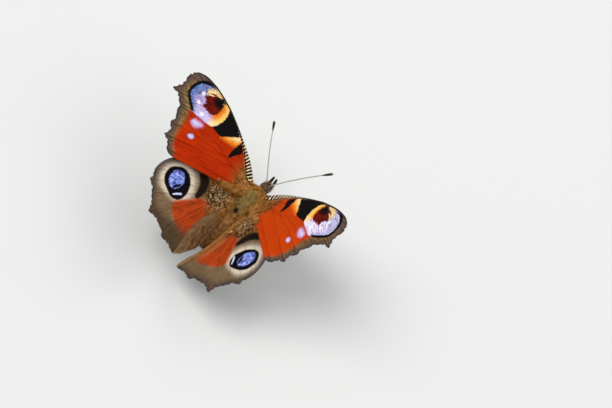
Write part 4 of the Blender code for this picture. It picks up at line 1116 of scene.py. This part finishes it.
def makeFringe(wing, side, material):
    shape = wingShapes[wing]
    teeth = list(shape["teeth"].values())
    line = wingOutline(shape, 0.05)
    first = np.linalg.norm(line - np.array(teeth[0][0]), axis=1).argmin()
    last = np.linalg.norm(line - np.array(teeth[-1][0]), axis=1).argmin()
    margin = line[first:last + (10 if wing == "forewing" else 1)]
    ahead = unit(np.gradient(margin, axis=0))
    inward = np.stack([ahead[:, 1], -ahead[:, 0]], 1)
    tips = np.array([tip for tip, _ in teeth])
    toTip = np.min(np.linalg.norm(margin[:, None] - tips, axis=2), axis=1)
    pieces = []
    for above in (0.05, -0.02, -0.07):
        kept = chance.random(len(margin)) < 0.8
        flat = margin[kept] + inward[kept] * fringe["inset"]
        normals, alongX, alongY = wingNormals(flat, wing, side)
        lie = unit(alongX * -inward[kept, :1] + alongY * -inward[kept, 1:])
        pieces.append((wingPlaces(flat, wing, side, wingBuild["raised"] + above), normals, lie, toTip[kept], flat))
    roots, normals, lie, toTip, flat = [np.concatenate(group) for group in zip(*pieces)]
    low, high = line.min(0), line.max(0)
    count = len(roots)
    growTufts(wing + "Fringe" + side.capitalize(), roots, lie, normals, chance.uniform(*fringe["length"], count),
              fringe["width"] * chance.uniform(0.8, 1.3, count), np.radians(chance.uniform(0, 4, count)),
              (flat - low) / (high - low), {"dipShare": smoothStep(toTip, 0.7, 1.6)}, [material], swirl=0.08)


# head pieces: eyes, antennae, palps and proboscis, placed from the head's middle

headAt = np.array([0.0, 5.15, 0.3])
eyes = {
    "offset": {"left": (0.98, -0.16, -0.05), "right": (0.78, -0.22, -0.05)}, "half": (0.5, 0.72, 0.9),
    "dark": (0.014, 0.008, 0.006), "light": (0.075, 0.04, 0.024), "around": 48, "rows": 32, "hairs": 1500,
}
antennae = {"root": (0.34, 0.5, 0.9), "length": 15.7, "spread": {"left": 41.3, "right": 35.1},
            "rise": {"left": 13.7, "right": 14.6}, "bow": 0.35, "arch": 1.47, "radius": 0.15, "clubLength": 2.9,
            "clubRadius": 0.33, "rings": 42, "grey": (0.46, 0.42, 0.36), "dark": (0.05, 0.04, 0.034),
            "black": (0.008, 0.007, 0.007), "tip": (0.62, 0.55, 0.42)}
palps = {"path": [(0.55, 0.3, -0.8), (0.6, 1.2, -0.85), (0.54, 2.1, 0.05), (0.42, 3.05, 1.27)],
         "radii": [0.24, 0.36, 0.34, 0.16], "hairs": 900, "tip": (0.012, 0.01, 0.01), "base": (0.12, 0.085, 0.065)}
proboscis = {"root": (0.0, -0.25, -0.9), "coilAt": (0.0, 0.7, -2.45), "outer": 0.95, "pitch": 0.75, "turns": 1.0,
             "radius": 0.17, "colour": (0.16, 0.075, 0.028), "dark": (0.05, 0.022, 0.01)}


def makeEyes(hair):
    material = newMaterial("eyeFinish", 0.22, specular=0.5)
    cells = addNode("ShaderNodeTexVoronoi", {"Vector": place(), "Scale": 11.0})
    colour = blend(between(cells, 0.1, 0.5), eyes["light"], eyes["dark"])
    paint(colour)
    bump(between(cells, 0.0, 0.6, 1.0, 0.0), 0.6, 0.03)
    around, rows = eyes["around"], eyes["rows"]
    turns, slants = np.linspace(0, 2 * math.pi, around, endpoint=False), np.linspace(0.02, math.pi - 0.02, rows)
    for side, sign in sides.items():
        u, v = np.meshgrid(turns, slants)
        ball = np.stack([np.cos(v), np.sin(v) * np.cos(u), np.sin(v) * np.sin(u)], -1).reshape(-1, 3)
        points = ball * eyes["half"] + headAt + mirrored(eyes["offset"][side], sign)
        faces = []
        for i in range(rows - 1):
            for j in range(around):
                a, b = i * around + j, i * around + (j + 1) % around
                faces += [(a, b, b + around), (a, b + around, a + around)]
        mesh = makeMesh("eye" + side.capitalize(), bodyToFloor(points), faces)
        setFields(mesh, {"grainAlong": ball[:, 1], "grainAcross": ball[:, 2], "grainDepth": ball[:, 0]})
        addPiece("eye" + side.capitalize(), mesh, [material], ["eye_" + side])
        # short hairs over the eye's upper part, as in the living insect
        ball = unit(chance.normal(0, 1, (eyes["hairs"] * 3, 3)))
        ball = ball[chance.random(len(ball)) < smoothStep(ball[:, 2] - ball[:, 0] * sign * 0.5, -0.5, 1.1)]
        ball = ball[:eyes["hairs"]]
        count = len(ball)
        roots = ball * eyes["half"] + headAt + mirrored(eyes["offset"][side], sign)
        normals = unit(ball / np.array(eyes["half"]))
        lie = np.broadcast_to(np.array([0.25 * sign, 0.6, -0.4]), normals.shape)
        growTufts("eyeHair" + side.capitalize(), roots, lie, normals, chance.uniform(0.18, 0.32, count),
                  np.full(count, 0.017), np.radians(chance.uniform(25, 55, count)),
                  np.stack([ball[:, 0] * 0.5 + 0.5, ball[:, 1] * 0.5 + 0.5], 1), bodyFields(roots), [hair])


def antennaLine(side, count):
    a = antennae
    sign = sides[side]
    spread, rise = math.radians(a["spread"][side]), math.radians(a["rise"][side])
    level = math.cos(rise)
    direction = np.array([sign * math.sin(spread) * level, math.cos(spread) * level, math.sin(rise)])
    bow = np.array([sign * math.cos(spread), -math.sin(spread), 0])
    arch = np.cross(direction, bow)
    arch = arch if arch[2] > 0 else -arch
    share = np.linspace(0, 1, count)[:, None]
    away = (bow * a["bow"] + arch * a["arch"]) * np.sin(math.pi * share)
    return headAt + mirrored(a["root"], sign) + direction * a["length"] * share + away


def makeAntennae():
    a = antennae
    material = newMaterial("antennaFinish", 0.55, specular=0.3)
    ring = calc("FRACT", field("along") * a["rings"])
    grey = blend(between(ring, 0.05, 0.3), a["dark"], a["grey"])
    grey = blend(between(ring, 0.82, 1.0), grey, a["dark"])
    grey = blend(between(field("below"), 0.2, 0.8), grey, a["grey"])
    colour = blend(between(field("along"), 0.8, 0.85), grey, a["black"])
    colour = blend(between(field("along"), 0.965, 0.985), colour, a["tip"])
    paint(colour)
    bump(ring, 0.5, 0.04)
    for side in sides:
        count = a["rings"] * 4 + 1
        line = antennaLine(side, count)
        share = np.linspace(0, 1, count)
        length = share * a["length"]
        club = np.clip((length - a["length"] + a["clubLength"]) / a["clubLength"], 0, 1)
        club = np.sin(math.pi * club ** 1.3 * 0.86)
        radii = a["radius"] + (a["clubRadius"] - a["radius"]) * np.maximum(club, 0)
        radii = radii * (1 - 0.12 * np.abs(np.cos(math.pi * share * a["rings"])) ** 3)
        verts, faces, along = tubeArrays(line, radii, 14)
        mesh = makeMesh("antenna" + side.capitalize(), bodyToFloor(verts), faces)
        middle = np.repeat(line[:, 2], 14)
        below = np.concatenate([smoothStep(middle - verts[:-2, 2], -0.05, 0.15), [0, 0]])
        setFields(mesh, {"along": along, "below": below})
        addPiece("antenna" + side.capitalize(), mesh, [material], ["antenna_" + side])


def makePalps():
    p = palps
    skin = newMaterial("palpFinish", 0.7, specular=0.25)
    shade = grain((6.0, 6.0, 6.0), 2.0)
    base = blend(between(shade, 0.3, 0.7), p["tip"], p["base"])
    paint(blend(between(field("along"), 0.45, 0.7), base, p["tip"]))
    hair = newMaterial("palpHairFinish", 0.7, sheen=0.2, specular=0.25)
    mixed = blend(between(field("tone"), 0.3, 0.9), p["tip"], p["base"])
    paint(blend(between(field("along"), 0.45, 0.65), mixed, p["tip"]))
    for side, sign in sides.items():
        path = [headAt + mirrored(point, sign) for point in p["path"]]
        line = smoothThrough(path, 0.12)
        radii = np.interp(np.linspace(0, 1, len(line)), np.linspace(0, 1, len(p["radii"])), p["radii"])
        verts, faces, along = tubeArrays(line, radii, 16)
        mesh = makeMesh("palp" + side.capitalize(), bodyToFloor(verts), faces)
        setFields(mesh, {"along": along, **grainFields(verts)})
        addPiece("palp" + side.capitalize(), mesh, [skin], ["palp_" + side])
        count = p["hairs"]
        share = chance.random(count) * 0.93
        at = share * (len(line) - 1)
        index = at.astype(int)
        centre = line[index] + (line[np.minimum(index + 1, len(line) - 1)] - line[index]) * (at - index)[:, None]
        ahead = unit(np.gradient(line, axis=0))[index]
        around = unit(np.cross(ahead, chance.normal(0, 1, (count, 3))))
        roots = centre + around * np.interp(share, np.linspace(0, 1, len(radii)), radii)[:, None]
        spots = np.stack([chance.random(count), share], 1)
        growTufts("palpHair" + side.capitalize(), roots, ahead, around, chance.uniform(0.25, 0.45, count),
                  np.full(count, 0.02), np.radians(chance.uniform(8, 24, count)), spots, {"along": share}, [hair])


def makeProboscis():
    p = proboscis
    material = newMaterial("proboscisFinish", 0.4, specular=0.5)
    ring = calc("FRACT", field("along") * 60.0)
    paint(blend(between(ring, 0.0, 0.6), p["dark"], p["colour"]))
    bump(ring, 0.4, 0.03)
    turn = np.linspace(0, p["turns"], 90)
    angle = math.pi + 2 * math.pi * turn
    radius = p["outer"] - p["pitch"] * turn
    coil = headAt + np.array(p["coilAt"]) + np.stack([angle * 0, np.cos(angle) * radius, np.sin(angle) * radius], 1)
    stem = smoothThrough([headAt + np.array(p["root"]), coil[0]], 0.12)
    line = np.concatenate([stem[:-1], coil])
    radii = np.interp(np.linspace(0, 1, len(line)), [0, 0.8, 1], [p["radius"], p["radius"] * 0.85, p["radius"] * 0.4])
    verts, faces, along = tubeArrays(line, radii, 14)
    mesh = makeMesh("proboscis", bodyToFloor(verts), faces)
    setFields(mesh, {"along": along})
    addPiece("proboscisCoil", mesh, [material], ["proboscis"])


# legs, on the floor's own axes from the ankle down

legs = {
    "radii": {"hip": 0.42, "thigh": 0.36, "knee": 0.24, "shin": 0.2, "foot": 0.17, "toe": 0.14}, "footLevel": 0.17,
    "midleg": {"hip": (0.9, 0.6, -2.0), "knee": (4.6, 2.0, -3.6), "ankle": (6.5, 3.9), "toe": (8.7, 6.6)},
    "hindleg": {"hip": (0.9, -1.9, -1.9), "knee": (4.0, -5.6, -4.2), "ankle": (5.4, -9.2), "toe": (6.8, -12.6)},
    "foreleg": [(0.8, 1.8, -2.0), (0.95, 3.3, -2.95), (1.0, 4.7, -2.75), (0.95, 5.35, -3.35), (0.85, 4.9, -4.0),
                (0.8, 3.8, -4.2)],
    "forelegRadii": [0.28, 0.3, 0.27, 0.25, 0.24, 0.16], "forelegHairs": 900, "hairs": 700,
    "steps": (14, 16, 40), "around": 14,  # rings of points on thigh, shin and foot, and points in a ring
    "tan": (0.22, 0.155, 0.10), "dark": (0.05, 0.034, 0.024), "spine": (0.03, 0.02, 0.015),
}


def floorToBody(points):
    pitch = math.radians(body["pitch"])
    c, s = math.cos(pitch), math.sin(pitch)
    p = np.asarray(points, float) - np.array(body["at"])
    return np.stack([p[..., 0], p[..., 1] * c + p[..., 2] * s, -p[..., 1] * s + p[..., 2] * c], -1)


def rootsRound(line, radii, at):
    # hair roots on a tube, at a chance angle round each of its places
    ahead = unit(np.gradient(line, axis=0))[at]
    around = unit(np.cross(ahead, chance.normal(0, 1, (len(at), 3))))
    return line[at] + around * radii[at][:, None], ahead, around


def makeLegs():
    skin = newMaterial("legFinish", 0.55, specular=0.3)
    shade = grain((5.0, 5.0, 5.0), 3.0)
    colour = blend(between(shade, 0.35, 0.65), legs["dark"], legs["tan"])
    joint = between(abs(calc("FRACT", field("foot") * 5.0) - 0.5), 0.38, 0.5)
    colour = blend(joint * between(field("foot"), 0.0, 0.02), colour, legs["dark"])
    paint(colour)
    bump(grain((14.0, 14.0, 14.0), 2.0), 0.5, 0.04)
    hair = newMaterial("legHairFinish", 0.65, specular=0.25)
    paint(blend(between(field("tone"), 0.3, 0.9), legs["spine"], legs["tan"]))
    r = legs["radii"]
    thigh, shin, foot = legs["steps"]
    for side, sign in sides.items():
        for name in ("midleg", "hindleg"):
            leg = legs[name]
            hip, knee = [bodyToFloor(mirrored(leg[key], sign)) for key in ("hip", "knee")]
            ankle, toe = [np.array([body["at"][0] + leg[key][0] * sign, body["at"][1] + leg[key][1],
                                    legs["footLevel"]]) for key in ("ankle", "toe")]
            parts = [(hip, knee, 0, thigh), (knee, ankle, 0.06, shin), (ankle, toe, 0.05, foot)]
            line = np.array([start + (end - start) * t for start, end, low, count in parts
                             for t in np.linspace(low, 1, count)])
            femur = np.interp(np.linspace(0, 1, thigh), [0, 0.35, 0.9, 1],
                              [r["hip"], r["thigh"], r["knee"], r["knee"] * 1.08])
            tibia = np.interp(np.linspace(0, 1, shin), [0, 0.1, 1], [r["knee"], r["shin"], r["shin"]])
            share = np.linspace(0, 1, foot)
            tarsus = np.interp(share, [0, 0.9, 1], [r["foot"], r["toe"], r["toe"] * 0.7])
            tarsus = tarsus * (1 - 0.16 * np.abs(np.cos(math.pi * share * 5)) ** 6)
            radii = np.concatenate([femur, tibia, tarsus])
            line[-foot:, 2] = np.maximum(line[-foot:, 2] - legs["footLevel"] + tarsus, tarsus)
            verts, faces, _ = tubeArrays(line, radii, legs["around"])
            verts[:, 2] = np.maximum(verts[:, 2], 0.004)
            mesh = makeMesh(name + side.capitalize(), verts, faces)
            joints = np.concatenate([np.zeros(thigh + shin), np.maximum(share, 0.03)])
            joints = np.concatenate([np.repeat(joints, legs["around"]), [0, 1]])
            setFields(mesh, {"foot": joints, **grainFields(verts)})
            addPiece(name + side.capitalize(), mesh, [skin], [name + "_" + side])
            at = chance.integers(1, len(line) - 2, legs["hairs"])
            roots, ahead, around = rootsRound(line, radii, at)
            high = roots[:, 2] > 0.12
            roots, ahead, around, at = roots[high], ahead[high], around[high], at[high]
            start = floorToBody(roots)
            lie = unit(floorToBody(roots + ahead) - start)
            normals = unit(floorToBody(roots + around) - start)
            count = len(roots)
            typical = np.where(at < thigh, 0.45, np.where(at < thigh + shin, 0.3, 0.16))
            lengths = typical * chance.uniform(0.7, 1.2, count)
            spots = np.stack([chance.random(count), at / len(line)], 1)
            growTufts(name + "Hair" + side.capitalize(), start, lie, normals, lengths, np.full(count, 0.018),
                      np.radians(chance.uniform(10, 35, count)), spots, {}, [hair])
        path = [mirrored(point, sign) for point in legs["foreleg"]]
        line = smoothThrough(path, 0.15)
        radii = np.interp(np.linspace(0, 1, len(line)), np.linspace(0, 1, 6), legs["forelegRadii"])
        verts, faces, _ = tubeArrays(line, radii, 12)
        mesh = makeMesh("foreleg" + side.capitalize(), bodyToFloor(verts), faces)
        setFields(mesh, {"foot": np.zeros(len(verts)), **grainFields(verts)})
        addPiece("foreleg" + side.capitalize(), mesh, [skin], ["foreleg_" + side])
        count = legs["forelegHairs"]
        at = chance.integers(0, len(line) - 1, count)
        roots, ahead, around = rootsRound(line, radii, at)
        growTufts("forelegHair" + side.capitalize(), roots, ahead, around, chance.uniform(0.35, 0.7, count),
                  np.full(count, 0.02), np.radians(chance.uniform(10, 30, count)),
                  np.stack([chance.random(count), at / len(line)], 1), {}, [hair])


# camera, floor and lights

cameraSettings = {
    "roll": -45.1, "turn": 14.5, "lift": 24.0,
    "distance": 750.0, "aside": 13.24, "up": -0.61, "fieldWidth": 143.7,
}


def axisTurn(axis, degrees):
    return np.array(Matrix.Rotation(math.radians(degrees), 3, axis))


def makeCamera():
    s = cameraSettings
    rows = axisTurn("Z", s["roll"]) @ axisTurn("Y", -s["turn"]) @ axisTurn("X", -s["lift"])
    right, up, back = rows @ axisTurn("X", -body["pitch"])
    spot = (bodyToFloor([0, 0, 0]) + back * s["distance"] + right * s["aside"] + up * s["up"]) * mm
    data = bpy.data.cameras.new("photoCamera")
    camera = bpy.data.objects.new("photoCamera", data)
    bpy.context.scene.collection.objects.link(camera)
    camera.matrix_world = Matrix((
        (right[0], up[0], back[0], spot[0]), (right[1], up[1], back[1], spot[1]),
        (right[2], up[2], back[2], spot[2]), (0, 0, 0, 1)))
    data.sensor_width = 36.0
    data.lens = 36.0 * s["distance"] / s["fieldWidth"]
    data.clip_start = 0.01
    data.clip_end = 20.0
    bpy.context.scene.camera = camera


studio = {
    "lights": [("keyLight", (-0.5, -0.3, 1.1), 0.9, 13.0), ("fillLight", (0.9, 0.2, 0.8), 1.2, 6.0),
               ("rimLight", (0.1, 0.9, 0.7), 0.8, 4.5)],
    "air": (0.9, 0.94, 1.0), "airStrength": 0.42, "floor": (0.62, 0.62, 0.6),
}


def makeStudio():
    bpy.ops.mesh.primitive_plane_add(size=8.0, location=(0, 0, -0.0001))
    floor = bpy.context.object
    floor.name = "floor"
    material = newMaterial("paleFloor", 0.9)
    newest["shader"].inputs["Base Color"].default_value = (*studio["floor"], 1)
    floor.data.materials.append(material)
    for name, spot, size, power in studio["lights"]:
        data = bpy.data.lights.new(name, "AREA")
        data.size = size
        data.energy = power
        light = bpy.data.objects.new(name, data)
        bpy.context.scene.collection.objects.link(light)
        light.location = spot
        light.rotation_euler = (-Vector(spot)).to_track_quat("-Z", "Y").to_euler()
    world = bpy.data.worlds.new("studioAir")
    bpy.context.scene.world = world
    world.use_nodes = True
    world.node_tree.nodes["Background"].inputs["Color"].default_value = (*studio["air"], 1)
    world.node_tree.nodes["Background"].inputs["Strength"].default_value = studio["airStrength"]
    bpy.context.scene.view_settings.view_transform = "Standard"


makeCamera()
makeStudio()
print("stage: camera, floor and lights made")

underside = makeUnderside()
uppers = {"forewing": makeForewingUpper(), "hindwing": makeHindwingUpper()}
rootHairFinish = makeRootHairMaterial()
fringeFinish = makeFringeMaterial()
for wing, shape in wingShapes.items():
    flat, faces = flatWing(shape)
    fields = wingFields(flat, wing)
    for side in sides:
        fields["blueness"] = np.full(len(flat), eyeBlue[side])  # the scales' blue depends on the light
        fields["eyeShift"] = eyeShift[side] * np.interp(flat[:, 0], [15.5, 21.5], [1.0, -0.65])
        fields["ovalShift"] = ovalShift[side] * np.interp(flat[:, 0], [13.5, 17.5], [1.0, 0.0])
        fields["barPace"] = np.full(len(flat), 2 * math.pi / barPitch[side])
        # a per-side weight: full painted shade in the crease and at the rear corner on the left, less on the right,
        # where the wing is redder
        fields["sideShade"] = np.full(len(flat), 1.0 if side == "left" else 0.3)
        makeWing(wing, side, flat, faces, fields, [uppers[wing], underside])
        makeRootHair(wing, side, rootHairFinish)
        makeFringe(wing, side, fringeFinish)
    print("stage:", wing, "pair made,", len(faces), "triangles a face")

makeBodySkin()
bodyHair = makeBodyMaterial("bodyHairFinish", True)
makeBodyCoats(bodyHair)
print("stage: body skin and coat made")

makeEyes(bodyHair)
makeAntennae()
makePalps()
makeProboscis()
makeLegs()
print("stage: head pieces and legs made")
